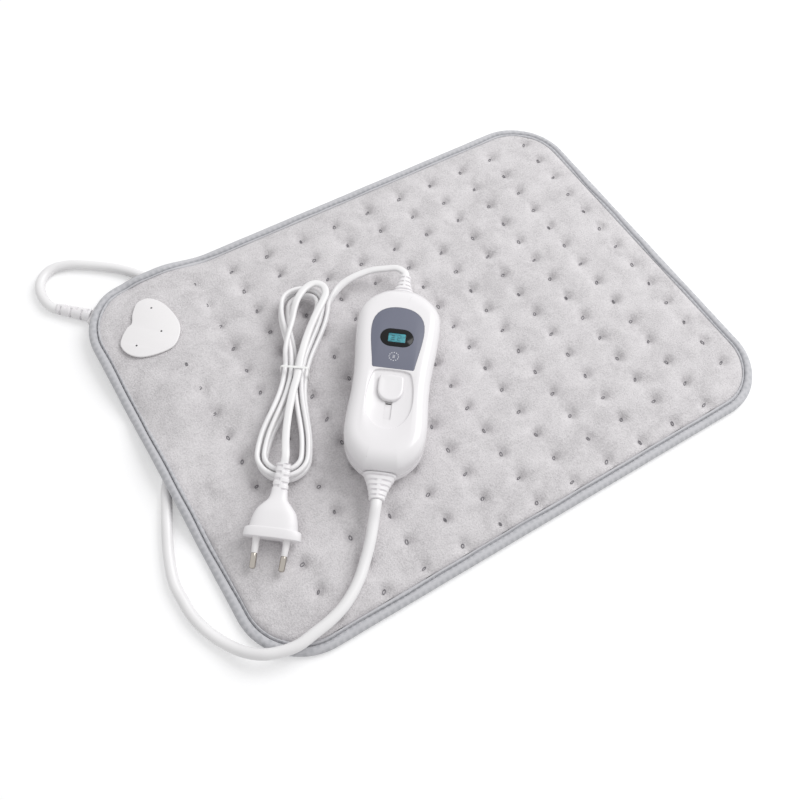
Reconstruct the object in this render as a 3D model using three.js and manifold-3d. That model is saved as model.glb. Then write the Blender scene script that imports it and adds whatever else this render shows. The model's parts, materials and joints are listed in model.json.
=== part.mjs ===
// Electric heating pad with a corded slide controller, a hank of mains cord and a flat two-pin plug.
// Millimetres, +Z up. The origin is the middle of the pad's outline, on the table it lies on.
import * as THREE from 'three';
import { mergeVertices } from 'three/addons/utils/BufferGeometryUtils.js';
import Module from 'manifold-3d';

const wasm = await Module();
wasm.setup();

// Clearances shared by all pieces.
const seatGap = 0.3;
const slideGap = 0.35;
const overrun = 5;
const deepCut = 60;

// Pad outline, binding and plush.
const padLength = 400;
const padWidth = 300;
const padCornerRadius = 44;
const bindingWidth = 7;
const bindingHeight = 6;
const crownHeight = 10.5;
const rimHeight = 6.4;
const drawInWidth = 22;
const tuftDepth = 4;
const tuftColumns = 12;
const tuftRows = 14;
const tuftColumnPitch = 28.7;
const tuftOuterColumnPitch = 34;
const tuftRowPitch = 20.1;
const lastColumnInset = 24.5;
const firstRowInset = 25;
const thinnestPlush = 0.9;
const cornerSegments = 8;
const bindingStep = 6;
const bindingSides = 8;
const foldDepth = 20;
const foldSpread = 8;
const foldLiftShare = 0.5;

// Layers under the plush, each measured up from the fold surface.
const backCoverThickness = 1;
const carrierThickness = 0.7;
const carrierInset = 14;
const heatingWireDiameter = 1.4;
const heatingRows = 12;
const heatingFieldLeft = 104;
const heatingFieldRight = 17;
const heatingFieldEndInset = 36;
const returnRunOffset = 10;
const leadWireDiameter = 1;
const leadWireHoleDiameter = 2.6;
const sensorLength = 9;
const sensorWidth = 5;
const sensorHeight = 1.2;

// Heart-shaped clamp plate, its pins and the connector housing under the corner.
const heartLength = 37;
const heartWidth = 46.8;
const heartThickness = 1.5;
const heartCentreFromEnd = 40.3;
const heartCentreFromSide = 48.4;
const heartProud = 0.35;
const clampPinDiameter = 3;
const clampPinProud = 0.4;
const housingHeight = 7.2;
const housingWall = 1.6;
const housingInset = 1.5;
const housingCoverThickness = 2.7;
const housingNeckWidth = 13;
const housingNeckEnd = 46.9;
const housingNeckOffset = 4.5;
const connectorTurn = 135;
const padCoreDiameter = 2;
const pinBossDiameter = 6.4;
const cornerTerminalX = 3.5;
const padTerminalLength = 9;
const padTerminalWidth = 13;
const thermalFuseLength = 9;
const thermalFuseDiameter = 2;
const heartFoldPlateau = 27;
const neckFoldPlateau = 9;
const cornerFoldReach = 26;

// Pad cord, round, and the ribbed strain relief at the pad's corner.
const padCordDiameter = 7;
const padCordRise = 0.1;
const cordFoldPlateau = 5;
const cordFoldReach = 19;
const padReliefLength = 25;
const padReliefRootDiameter = 9.4;
const padReliefTipDiameter = 7.8;
const padReliefRibDepth = 0.7;
const padReliefRibs = 4;

// Controller body.
const controllerX = -39.1;
const controllerY = -17.9;
const controllerTurn = 52.2;
const controllerHeight = 28;
const controllerWall = 2;
const controllerEdgeRadius = 8;
const partingHeight = 12;
const partingGap = 0.3;
const headLength = 66;
const tailLength = 73;
const headHalfWidth = 28;
const waistHalfWidth = 25.2;
const bellyHalfWidth = 26.3;
const headEndHalfWidth = 9;
const tailEndHalfWidth = 10;

// Label, window and display on the controller's top.
const labelTopEnd = 44.6;
const labelBottomEnd = 4;
const labelHalfWidth = 17.6;
const labelThickness = 0.5;
const windowLength = 14;
const windowWidth = 22;
const windowCentre = 20;
const windowThickness = 2.2;
const displayLength = 7;
const displayWidth = 11.6;
const displayProud = 0.1;
const displayBodyLength = 12;
const displayBodyWidth = 17;

// Drop-shaped recess, slot and slide knob.
const recessTopEnd = 4.8;
const recessFromTail = 24.6;
const recessHalfWidth = 15.1;
const recessDepth = 1.6;
const knobTopEnd = 9.2;
const knobBottomEnd = 28.4;
const knobHalfWidth = 8.2;
const knobHeight = 4;
const knobEdgeRadius = 1.2;
const knobEndClearance = 2;
const stemLength = 6;
const stemWidth = 3.6;
const slotWidth = 4.6;
const slotEndClearance = 1.2;
const carriageLength = 16;
const carriageWidth = 11;
const carriageThickness = 3;
const switchBodyEnds = 20;
const switchBodyWidth = 13;
const switchBodyHeight = 6;

// Board, screws and electrical pieces in the controller.
const boardLevel = 8.5;
const boardThickness = 1.6;
const boardInset = 2;
const boardHeadCut = 12;
const boardTailCut = 14;
const screwFromHead = 22;
const screwFromTail = 17;
const screwHeadOffset = 16;
const screwTailOffset = 13;
const screwShankDiameter = 2.4;
const screwHeadDiameter = 5.4;
const screwHeadThickness = 2;
const screwHeadLevel = 4;
const screwLength = 15;
const pillarDiameter = 7.6;
const pillarFootDiameter = 10;
const terminalLength = 9;
const terminalWidth = 15;
const terminalHeight = 8;
const mainsTerminalFromHead = 23;
const padTerminalFromTail = 21;
const fuseDiameter = 5;
const fuseLength = 18;
const fuseCentre = 6;
const fuseOffset = 15;
const capacitorLength = 15;
const capacitorWidth = 7;
const capacitorHeight = 11;
const capacitorCentre = 18;
const capacitorOffset = 14;

// Strain reliefs on the controller.
const thickReliefLength = 17;
const thickReliefRootWidth = 21;
const thickReliefMiddleWidth = 14;
const thickReliefTipWidth = 9;
const thickReliefRibs = 5;
const slimReliefLength = 16;
const slimReliefRootWidth = 16.4;
const slimReliefMiddleWidth = 12.6;
const slimReliefTipWidth = 6.6;
const slimReliefRibs = 4;
const reliefRootHeight = 13;
const reliefRibDepth = 0.7;
const reliefNeckDiameter = 9;
const reliefFlangeDiameter = 10.8;
const reliefFlangeThickness = 2;
const reliefSides = 10;
const ribCrestShare = 0.3;
const ribValleyShare = 0.75;
const ribEndShare = 0.5;
const mainsCoreDiameter = 3;
const padCoreInnerDiameter = 3;

// Mains cord, flat with two cores, and its hank.
const mainsCordWidth = 3.2;
const mainsCordHeight = 5;
const hankX = -92.75;
const hankY = 18.56;
const hankTurn = 55.04;
const hankTopReach = 72.5;
const hankBottomReach = 78;
const hankLobe = 16.4;
const hankWaist = 7.6;
const hankLobeStep = 4;
const hankWaistStep = 4.2;
const hankLayerGap = 0.5;
const hankHalfTurns = 7;
const tieWidth = 2.2;
const tieThickness = 0.5;

// Plug.
const plugX = -160.5;
const plugY = -76.8;
const plugLevel = 17.6;
const plugTurn = -128.2;
const plugPitch = 11.7;
const plugLength = 47;
const plugThickness = 13.7;
const plugRimWidth = 35.3;
const plugBodyWidth = 29.6;
const plugRimDepth = 6;
const plugRibDepth = 0.7;
const plugRibs = 4;
const plugRimFlareShare = 0.35;
const plugCornerPower = 0.65;
const pinDiameter = 4;
const pinLength = 19;
const pinSpacing = 18.6;
const pinTipSpacing = 17.5;
const pinCoreDiameter = 2.6;
const pinRoot = 8;
const sleeveLength = 9.5;
const sleeveRoot = 3;
const sleeveBore = 3.2;

const degrees = Math.PI / 180;
const fullTurn = 2 * Math.PI;
const part = new THREE.Group();

function finish(color, roughness, metalness = 0) {
  return new THREE.MeshStandardMaterial({ color, roughness, metalness });
}
const plush = finish(0xcfcdd1, 0.95);
const bindingCloth = finish(0x9b989c, 0.85);
const backCloth = finish(0xc4c1c6, 0.95);
const whitePlastic = finish(0xf1f1ef, 0.3);
const whiteSoftPlastic = finish(0xececea, 0.42);
const whiteVinyl = finish(0xe9e9e6, 0.36);
const labelFilm = finish(0x777a8a, 0.4);
const blackGloss = finish(0x111114, 0.12);
const litGlass = finish(0x8fe6ee, 0.2);
const boardLaminate = finish(0x2f6b45, 0.5);
const brightMetal = finish(0xc9c9c6, 0.25, 1);
const darkPlastic = finish(0x2b2b2d, 0.5);
const glassBody = finish(0xdfe4e2, 0.1);
const siliconeSkin = finish(0xd9d2c0, 0.6);

// A named mesh in a group of the part.
function add(name, geometry, material, parent = part) {
  const mesh = new THREE.Mesh(geometry, material);
  mesh.name = name;
  parent.add(mesh);
  return mesh;
}

// A closed three.js geometry as a solid that can be cut and joined.
function solid(geometry) {
  const bare = geometry.clone();
  bare.deleteAttribute('normal');
  bare.deleteAttribute('uv');
  const merged = mergeVertices(bare, 1e-4);
  const vertProperties = new Float32Array(merged.attributes.position.array);
  const triVerts = new Uint32Array(merged.index.array);
  return new wasm.Manifold(new wasm.Mesh({ numProp: 3, vertProperties, triVerts }));
}

// A solid back as a three.js geometry.
function geometryOf(body) {
  const mesh = body.getMesh();
  const geometry = new THREE.BufferGeometry();
  geometry.setAttribute('position', new THREE.BufferAttribute(new Float32Array(mesh.vertProperties), 3));
  geometry.setIndex(new THREE.BufferAttribute(new Uint32Array(mesh.triVerts), 1));
  return geometry;
}

// A box from its middle in plan, its foot level and its three sizes.
function block(x, y, foot, length, width, height) {
  return new THREE.BoxGeometry(length, width, height).translate(x, y, foot + height / 2);
}

// An upright round rod between two levels.
function rod(x, y, foot, top, diameter, sides = 12) {
  const geometry = new THREE.CylinderGeometry(diameter / 2, diameter / 2, top - foot, sides);
  return geometry.rotateX(Math.PI / 2).translate(x, y, (foot + top) / 2);
}

// A round rod that lies along X.
function lyingRod(from, to, y, z, diameter, sides = 12) {
  const geometry = new THREE.CylinderGeometry(diameter / 2, diameter / 2, to - from, sides);
  return geometry.rotateZ(Math.PI / 2).translate((from + to) / 2, y, z);
}

// A flat outline raised between two levels.
function slab(shape, foot, top, curveSegments = 8) {
  const geometry = new THREE.ExtrudeGeometry(shape, { depth: top - foot, bevelEnabled: false, curveSegments });
  return geometry.translate(0, 0, foot);
}

// A closed body through rings of equally many points, with flat fans at its ends or joined on itself.
function loft(rings, joined = false) {
  const count = rings[0].length;
  const points = rings.flat();
  const faces = [];
  const spans = joined ? rings.length : rings.length - 1;
  for (let i = 0; i < spans; i += 1) {
    const here = i * count;
    const there = ((i + 1) % rings.length) * count;
    for (let k = 0; k < count; k += 1) {
      const next = (k + 1) % count;
      faces.push(here + k, here + next, there + next, here + k, there + next, there + k);
    }
  }
  if (!joined) {
    const last = (rings.length - 1) * count;
    for (let k = 1; k < count - 1; k += 1) {
      faces.push(0, k + 1, k);
      faces.push(last, last + k, last + k + 1);
    }
  }
  const geometry = new THREE.BufferGeometry();
  const positions = points.flatMap((point) => [point.x, point.y, point.z]);
  geometry.setAttribute('position', new THREE.Float32BufferAttribute(positions, 3));
  geometry.setIndex(faces);
  return geometry;
}

// One ring of points round a place, in the plane of two directions.
function ringAt(centre, across, up, halfWidth, halfHeight, sides, startTurn = 0) {
  const ring = [];
  for (let k = 0; k < sides; k += 1) {
    const turn = startTurn + (fullTurn * k) / sides;
    ring.push(centre.clone()
      .addScaledVector(across, halfWidth * Math.cos(turn))
      .addScaledVector(up, halfHeight * Math.sin(turn)));
  }
  return ring;
}

const levelUp = new THREE.Vector3(0, 0, 1);

// A smooth path whose section stays level, or rolls by a quarter turn over a share of its length.
class LaidPath extends THREE.CatmullRomCurve3 {
  constructor(points, rollStartShare = 0, rollEndShare = 0) {
    super(points, false, 'centripetal');
    this.rollStartShare = rollStartShare;
    this.rollEndShare = rollEndShare;
  }

  computeFrenetFrames(steps) {
    const frames = { tangents: [], normals: [], binormals: [] };
    for (let i = 0; i <= steps; i += 1) {
      const tangent = this.getTangentAt(i / steps).normalize();
      const across = new THREE.Vector3().crossVectors(levelUp, tangent).normalize();
      const up = new THREE.Vector3().crossVectors(tangent, across).normalize();
      const roll = this.rollEndShare > 0
        ? THREE.MathUtils.smoothstep(i / steps, this.rollStartShare, this.rollEndShare) * (Math.PI / 2)
        : 0;
      frames.tangents.push(tangent);
      frames.normals.push(across.clone().applyAxisAngle(tangent, roll));
      frames.binormals.push(up.clone().applyAxisAngle(tangent, roll));
    }
    return frames;
  }
}

// A cord of round or oval section along a path.
function cordAlong(path, width, height, sides, stepLength) {
  const section = new THREE.Shape();
  for (let k = 0; k < sides; k += 1) {
    const turn = (fullTurn * (k + 0.5)) / sides;
    const x = Math.cos(turn) * (width / 2);
    const y = Math.sin(turn) * (height / 2);
    if (k === 0) section.moveTo(x, y);
    else section.lineTo(x, y);
  }
  section.closePath();
  const steps = Math.ceil(path.getLength() / stepLength);
  return new THREE.ExtrudeGeometry(section, { steps, extrudePath: path, bevelEnabled: false });
}

const vector = (point) => new THREE.Vector3(...point);

// Places that the pad's corner and the connector share.
const heartCentre = new THREE.Vector2(
  -padLength / 2 + heartCentreFromEnd,
  padWidth / 2 - heartCentreFromSide,
);
const connector = new THREE.Group();
connector.position.set(heartCentre.x, heartCentre.y, 0);
connector.rotation.z = connectorTurn * degrees;
part.add(connector);
connector.updateMatrix();

const atCorner = (geometry) => geometry.clone().applyMatrix4(connector.matrix);
const cornerPoint = (x, y, z = 0) => new THREE.Vector3(x, y, z).applyMatrix4(connector.matrix);

// The route of the pad cord under the pad, between the two places where it passes the edge.
const hiddenRoute = [
  [-205, -19],
  [-200, -8],
  [-165, 42],
  [-134, 92],
  [-131, 122],
  [-143, 150],
  [-154, 165],
];

// The pad lies over the housing and over the cord: a flat fold top with sloping sides for each stretch.
const padCordLevel = padCordRise + padCordDiameter / 2;
const foldHeight = Math.max(housingHeight, padCordLevel + padCordDiameter / 2) + seatGap;
const neckStart = cornerPoint(0, -housingNeckOffset);
const neckStop = cornerPoint(housingNeckEnd + padCordDiameter, -housingNeckOffset);
const folds = [
  { from: heartCentre, to: heartCentre, plateau: heartFoldPlateau, reach: cornerFoldReach },
  { from: neckStart, to: neckStop, plateau: neckFoldPlateau, reach: cornerFoldReach },
];
for (let i = 0; i < hiddenRoute.length - 1; i += 1) {
  const [from, to] = [new THREE.Vector2(...hiddenRoute[i]), new THREE.Vector2(...hiddenRoute[i + 1])];
  folds.push({ from, to, plateau: cordFoldPlateau, reach: cordFoldReach });
}

// Height of the fold surface over the table, with its flat tops widened by a spread.
function lift(x, y, spread = 0) {
  let height = 0;
  for (const fold of folds) {
    const alongX = fold.to.x - fold.from.x;
    const alongY = fold.to.y - fold.from.y;
    const squared = alongX ** 2 + alongY ** 2;
    const share = squared > 0
      ? THREE.MathUtils.clamp(((x - fold.from.x) * alongX + (y - fold.from.y) * alongY) / squared, 0, 1)
      : 0;
    const away = Math.hypot(x - fold.from.x - share * alongX, y - fold.from.y - share * alongY);
    const drop = Math.max(0, away - fold.plateau - spread) / fold.reach;
    height = Math.max(height, foldHeight * (1 - drop));
  }
  return height;
}

// A ring of points round a stretch at one level, with round ends.
function stretchRing(from, to, radius, z) {
  const heading = Math.atan2(to.y - from.y, to.x - from.x);
  const ring = [];
  for (let k = 0; k < 2; k += 1) {
    const end = k === 0 ? to : from;
    for (let i = 0; i <= 5; i += 1) {
      const turn = heading + k * Math.PI - Math.PI / 2 + (Math.PI * (i + 0.5)) / 6;
      ring.push(new THREE.Vector3(end.x + radius * Math.cos(turn), end.y + radius * Math.sin(turn), z));
    }
  }
  return ring;
}

// All the space under a surface that lies a height above the fold surface.
function spaceUnder(height) {
  let space = solid(block(0, 0, height - foldDepth, padLength + deepCut, padWidth + deepCut, foldDepth));
  for (const fold of folds) {
    const foot = fold.plateau + fold.reach;
    space = space.add(solid(loft([
      stretchRing(fold.from, fold.to, foot, height - foldDepth / 2),
      stretchRing(fold.from, fold.to, foot, height),
      stretchRing(fold.from, fold.to, fold.plateau, height + foldHeight),
    ])));
  }
  return space;
}

// The pad's outline, drawn in all round by an inset.
function padOutline(inset) {
  const shape = new THREE.Shape();
  const radius = padCornerRadius - inset;
  const endX = padLength / 2 - padCornerRadius;
  const endY = padWidth / 2 - padCornerRadius;
  shape.absarc(endX, endY, radius, 0, Math.PI / 2, false);
  shape.absarc(-endX, endY, radius, Math.PI / 2, Math.PI, false);
  shape.absarc(-endX, -endY, radius, Math.PI, 1.5 * Math.PI, false);
  shape.absarc(endX, -endY, radius, 1.5 * Math.PI, fullTurn, false);
  shape.closePath();
  return shape;
}

// How far a place lies inside the outline that the binding frames.
function insideBinding(x, y) {
  const inset = bindingWidth + seatGap;
  const radius = padCornerRadius - inset;
  const overX = Math.abs(x) - (padLength / 2 - padCornerRadius);
  const overY = Math.abs(y) - (padWidth / 2 - padCornerRadius);
  const outside = Math.hypot(Math.max(overX, 0), Math.max(overY, 0)) + Math.min(Math.max(overX, overY), 0);
  return Math.max(0, radius - outside);
}

// Tuft places: the outer column on each side stands a little further out than the even pitch.
const tuftXs = Array.from({ length: tuftColumns }, (_, column) => {
  const last = padLength / 2 - lastColumnInset;
  const steps = tuftColumns - 1 - column;
  const outerSteps = (steps > 0 ? 1 : 0) + (column === 0 ? 1 : 0);
  return last - outerSteps * tuftOuterColumnPitch - (steps - outerSteps) * tuftColumnPitch;
});
const firstRow = padWidth / 2 - firstRowInset;
const tuftYs = Array.from({ length: tuftRows }, (_, row) => firstRow - row * tuftRowPitch);

// Grid lines through the tufts, halfway between them and near the edges.
function gridLines(places, half) {
  const sorted = [...places].sort((a, b) => a - b);
  const lines = [-half];
  const first = sorted[0];
  const last = sorted[sorted.length - 1];
  if (first + half > drawInWidth) lines.push((first - half) / 2);
  sorted.forEach((place, i) => {
    if (i > 0) lines.push((sorted[i - 1] + place) / 2);
    lines.push(place);
  });
  if (half - last > drawInWidth) lines.push((last + half) / 2);
  lines.push(half);
  return lines;
}

const plushBottom = backCoverThickness + carrierThickness + heatingWireDiameter + 3 * seatGap;
const plushHalfLength = padLength / 2 - bindingWidth - seatGap;
const plushHalfWidth = padWidth / 2 - bindingWidth - seatGap;

// Height of the plush: crowned, drawn in at its rim, pulled down at the tufts and carried by the folds.
function plushTop(x, y) {
  const drawIn = 1 - Math.min(insideBinding(x, y) / drawInWidth, 1);
  const crown = crownHeight - (crownHeight - rimHeight) * drawIn ** 2;
  const underPlate = Math.hypot(x - heartCentre.x, y - heartCentre.y) < heartFoldPlateau;
  const tuft = !underPlate && tuftXs.includes(x) && tuftYs.includes(y) ? tuftDepth * (1 - drawIn) : 0;
  const carried = crown - tuft + foldLiftShare * lift(x, y);
  return Math.max(carried, lift(x, y, foldSpread) + plushBottom + thinnestPlush);
}

// The crowned block of plush over a grid, from its table level up.
function plushBlock() {
  const xs = gridLines(tuftXs, plushHalfLength);
  const ys = gridLines(tuftYs, plushHalfWidth);
  const positions = [];
  const faces = [];
  for (const y of ys) for (const x of xs) positions.push(x, y, plushTop(x, y));
  for (const y of ys) for (const x of xs) positions.push(x, y, 0);
  const half = xs.length * ys.length;
  const at = (i, j) => j * xs.length + i;
  for (let j = 0; j < ys.length - 1; j += 1) {
    for (let i = 0; i < xs.length - 1; i += 1) {
      const [a, b, c, d] = [at(i, j), at(i + 1, j), at(i + 1, j + 1), at(i, j + 1)];
      if ((i + j) % 2 === 0) faces.push(a, b, c, a, c, d);
      else faces.push(a, b, d, b, c, d);
      faces.push(half + a, half + c, half + b, half + a, half + d, half + c);
    }
  }
  const rim = [];
  for (let i = 0; i < xs.length - 1; i += 1) rim.push(at(i, 0));
  for (let j = 0; j < ys.length - 1; j += 1) rim.push(at(xs.length - 1, j));
  for (let i = xs.length - 1; i > 0; i -= 1) rim.push(at(i, ys.length - 1));
  for (let j = ys.length - 1; j > 0; j -= 1) rim.push(at(0, j));
  rim.forEach((here, k) => {
    const next = rim[(k + 1) % rim.length];
    faces.push(here + half, next + half, next, here + half, next, here);
  });
  const geometry = new THREE.BufferGeometry();
  geometry.setAttribute('position', new THREE.Float32BufferAttribute(positions, 3));
  geometry.setIndex(faces);
  return geometry;
}

// The heart outline: notch toward the corner, lobes, then the blunt tip; shares of its length and width.
const heartShares = [
  [0.378, 0], [0.442, -0.167], [0.45, -0.378], [0.306, -0.491], [0.083, -0.494],
  [-0.217, -0.38], [-0.461, -0.199], [-0.55, -0.032], [-0.536, 0.199], [-0.332, 0.378],
  [-0.035, 0.506], [0.212, 0.496], [0.391, 0.391], [0.432, 0.25], [0.418, 0.085],
];
const clampPinShares = [[0.154, -0.34], [-0.21, 0.009], [0.108, 0.34]];

function heartShape(grow) {
  const corners = heartShares.map(([alongShare, acrossShare]) => {
    const corner = new THREE.Vector3(alongShare * heartLength, acrossShare * heartWidth, 0);
    return corner.setLength(corner.length() + grow);
  });
  const rounded = new THREE.CatmullRomCurve3(corners, true).getPoints(2 * heartShares.length);
  rounded.pop();
  return new THREE.Shape(rounded.reverse().map((point) => new THREE.Vector2(point.x, point.y)));
}

const clampPins = clampPinShares.map(([alongShare, acrossShare]) => [
  alongShare * heartLength,
  acrossShare * heartWidth,
]);
const plateTop = foldLiftShare * foldHeight + crownHeight + heartProud;
const plateFoot = plateTop - heartThickness;
const pinHoleDiameter = clampPinDiameter + 2 * seatGap;

// Everything that passes through the pad's layers at the corner.
const wireHoles = [-1, 1].map((side) => [
  cornerTerminalX,
  -housingNeckOffset + side * (padTerminalWidth / 4),
]);
let cornerHoles = null;
for (const [x, y] of clampPins) {
  const hole = solid(atCorner(rod(x, y, -overrun, deepCut, pinHoleDiameter, 10)));
  cornerHoles = cornerHoles ? cornerHoles.add(hole) : hole;
}
let layerHoles = cornerHoles;
for (const [x, y] of wireHoles) {
  layerHoles = layerHoles.add(solid(atCorner(rod(x, y, -overrun, deepCut, leadWireHoleDiameter, 8))));
}

// Back cover, heater carrier and plush, each between two surfaces over the folds.
const framed = bindingWidth + seatGap;
const layer = (inset, foot, top) => solid(slab(padOutline(inset), -overrun, deepCut, cornerSegments))
  .intersect(spaceUnder(top))
  .subtract(spaceUnder(foot));
const carrierFoot = backCoverThickness + seatGap;
const carrierTop = carrierFoot + carrierThickness;
const aboveTable = solid(block(0, 0, 0, padLength + deepCut, padWidth + deepCut, deepCut));

const backCover = layer(framed, 0, backCoverThickness).intersect(aboveTable);
add('plush_back_cover', geometryOf(backCover.subtract(layerHoles)), backCloth);
const carrier = layer(carrierInset, carrierFoot, carrierTop);
add('heater_carrier', geometryOf(carrier.subtract(layerHoles)), backCloth);

const plushSolid = solid(plushBlock())
  .intersect(solid(slab(padOutline(framed), -overrun, deepCut, cornerSegments)))
  .subtract(spaceUnder(plushBottom))
  .subtract(solid(atCorner(slab(heartShape(seatGap), plateFoot - seatGap, deepCut))))
  .subtract(cornerHoles);
add('plush_top_cover', geometryOf(plushSolid), plush);

// The binding: a closed ring that rides over the folds.
function bindingStations() {
  const centre = bindingWidth / 2;
  const endX = padLength / 2 - padCornerRadius;
  const endY = padWidth / 2 - padCornerRadius;
  const corners = [[endX, endY], [-endX, endY], [-endX, -endY], [endX, -endY]];
  const stations = [];
  corners.forEach(([x, y], corner) => {
    for (let i = 0; i <= cornerSegments; i += 1) {
      const turn = (Math.PI / 2) * (corner + i / cornerSegments);
      const outward = new THREE.Vector3(Math.cos(turn), Math.sin(turn), 0);
      const place = new THREE.Vector3(x, y, 0).addScaledVector(outward, padCornerRadius - centre);
      stations.push({ place, outward, kept: true });
    }
    const turn = (Math.PI / 2) * (corner + 1);
    const outward = new THREE.Vector3(Math.cos(turn), Math.sin(turn), 0);
    const next = corners[(corner + 1) % corners.length];
    const start = new THREE.Vector3(x, y, 0).addScaledVector(outward, padCornerRadius - centre);
    const stop = new THREE.Vector3(next[0], next[1], 0).addScaledVector(outward, padCornerRadius - centre);
    const steps = Math.round(start.distanceTo(stop) / bindingStep);
    for (let i = 1; i < steps; i += 1) {
      const place = start.clone().lerp(stop, i / steps);
      const near = [-1, 0, 1].map((k) => start.clone().lerp(stop, (i + k) / steps));
      stations.push({ place, outward, kept: near.some((point) => lift(point.x, point.y) > 0) });
    }
  });
  return stations.filter((station) => station.kept);
}

const flatReach = 1 / Math.cos(Math.PI / bindingSides);
const bindingRings = bindingStations().map(({ place, outward }) => {
  const centre = place.clone();
  centre.z = lift(place.x, place.y) + bindingHeight / 2;
  const halfWidth = flatReach * (bindingWidth / 2);
  const halfHeight = flatReach * (bindingHeight / 2);
  const inward = outward.clone().negate();
  return ringAt(centre, inward, levelUp, halfWidth, halfHeight, bindingSides, Math.PI / bindingSides);
});
add('edge_binding', loft(bindingRings, true), bindingCloth);

// The heating wire: rows along X, joined by half turns, with a return run at the left.
const wireLevel = carrierTop + seatGap + heatingWireDiameter / 2;
const heatingLeft = -padLength / 2 + heatingFieldLeft;
const heatingRight = padLength / 2 - heatingFieldRight;
const heatingTop = padWidth / 2 - heatingFieldEndInset;
const heatingPitch = (2 * heatingTop) / (heatingRows - 1);
const turnSegments = 4;

function wireTube(places, diameter, level) {
  const rings = places.map((place, i) => {
    const before = places[Math.max(0, i - 1)];
    const after = places[Math.min(places.length - 1, i + 1)];
    const travel = new THREE.Vector3().subVectors(after, before).setZ(0).normalize();
    const across = new THREE.Vector3().crossVectors(levelUp, travel);
    const centre = place.clone();
    centre.z = lift(place.x, place.y) + level;
    return ringAt(centre, across, levelUp, diameter / 2, diameter / 2, 5);
  });
  return loft(rings);
}

// A straight stretch of wire, with more places where it passes over a fold.
function wireStretch(from, to) {
  const steps = Math.ceil(from.distanceTo(to) / bindingStep);
  const places = Array.from({ length: steps + 1 }, (_, i) => from.clone().lerp(to, i / steps));
  return places.filter((place, i) => {
    const near = [places[i - 1], place, places[i + 1]].filter(Boolean);
    return i === 0 || i === steps || near.some((point) => lift(point.x, point.y) > 0);
  });
}

const heatingPlaces = [];
for (let row = 0; row < heatingRows; row += 1) {
  const y = heatingTop - row * heatingPitch;
  const rightward = row % 2 === 0;
  const turnRadius = heatingPitch / 2;
  const [near, far] = rightward
    ? [heatingLeft + turnRadius, heatingRight - turnRadius]
    : [heatingRight - turnRadius, heatingLeft + turnRadius];
  heatingPlaces.push(...wireStretch(new THREE.Vector3(near, y, 0), new THREE.Vector3(far, y, 0)));
  if (row < heatingRows - 1) {
    for (let i = 1; i < turnSegments; i += 1) {
      const turn = Math.PI / 2 - (Math.PI * i) / turnSegments;
      const side = rightward ? 1 : -1;
      const x = far + side * turnRadius * Math.cos(turn);
      heatingPlaces.push(new THREE.Vector3(x, y - turnRadius + turnRadius * Math.sin(turn), 0));
    }
  }
}
const returnX = heatingLeft - returnRunOffset;
const returnTop = heatingTop - heatingPitch;
for (let i = 1; i <= turnSegments; i += 1) {
  const turn = -Math.PI / 2 - (Math.PI / 2) * (i / turnSegments);
  const radius = returnRunOffset + heatingPitch / 2;
  const centreY = -heatingTop + radius;
  heatingPlaces.push(new THREE.Vector3(
    heatingLeft + heatingPitch / 2 + radius * Math.cos(turn),
    centreY + radius * Math.sin(turn),
    0,
  ));
}
heatingPlaces.push(new THREE.Vector3(returnX, returnTop, 0));
add('heating_wire', wireTube(heatingPlaces, heatingWireDiameter, wireLevel), siliconeSkin);

// Two lead wires from the wire's ends, over the folds, down through the holes to the terminal block.
function leadWire(start, hole) {
  const target = cornerPoint(hole[0], hole[1]);
  const places = [];
  const steps = 20;
  for (let i = 0; i <= steps; i += 1) places.push(start.clone().lerp(target, i / steps));
  const rings = places.map((place, i) => {
    const before = places[Math.max(0, i - 1)];
    const after = places[Math.min(steps, i + 1)];
    const travel = new THREE.Vector3().subVectors(after, before).setZ(0).normalize();
    const across = new THREE.Vector3().crossVectors(levelUp, travel);
    const centre = place.clone();
    centre.z = lift(place.x, place.y) + wireLevel;
    const lean = i === steps ? travel.clone().add(levelUp).normalize() : levelUp;
    return ringAt(centre, across, lean, leadWireDiameter / 2, leadWireDiameter / 2, 5);
  });
  const down = target.clone();
  const travel = new THREE.Vector3().subVectors(target, start).setZ(0).normalize();
  const across = new THREE.Vector3().crossVectors(levelUp, travel);
  down.z = housingHeight - housingCoverThickness;
  rings.push(ringAt(down, across, travel, leadWireDiameter / 2, leadWireDiameter / 2, 5));
  return loft(rings);
}
const leadStarts = [
  new THREE.Vector3(heatingLeft + heatingPitch / 2 - seatGap, heatingTop, 0),
  new THREE.Vector3(returnX, returnTop, 0),
];
leadStarts[1].y += leadWireDiameter;
add('heater_lead_1', leadWire(leadStarts[0], wireHoles[0]), whiteVinyl);
add('heater_lead_2', leadWire(leadStarts[1], wireHoles[1]), whiteVinyl);

// Temperature sensors on the carrier, between two rows of wire.
const sensorPlaces = [[0.3, 2], [0.7, 8]];
sensorPlaces.forEach(([acrossShare, row], i) => {
  const x = THREE.MathUtils.lerp(heatingLeft, heatingRight, acrossShare);
  const y = heatingTop - (row + 0.5) * heatingPitch;
  const shape = block(x, y, carrierTop + seatGap, sensorLength, sensorWidth, sensorHeight);
  add(`temperature_sensor_${i + 1}`, shape, darkPlastic);
});

// Heart plate and clamp pins.
let plateSolid = solid(slab(heartShape(0), plateFoot, plateTop));
for (const [x, y] of clampPins) {
  const hole = rod(x, y, plateFoot - overrun, plateTop + overrun, pinHoleDiameter, 10);
  plateSolid = plateSolid.subtract(solid(hole));
}
add('heart_plate', geometryOf(plateSolid), whitePlastic, connector);
clampPins.forEach(([x, y], i) => {
  const pin = rod(x, y, housingWall + seatGap, plateTop + clampPinProud, clampPinDiameter, 10);
  add(`clamp_pin_${i + 1}`, pin, whitePlastic, connector);
});

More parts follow.
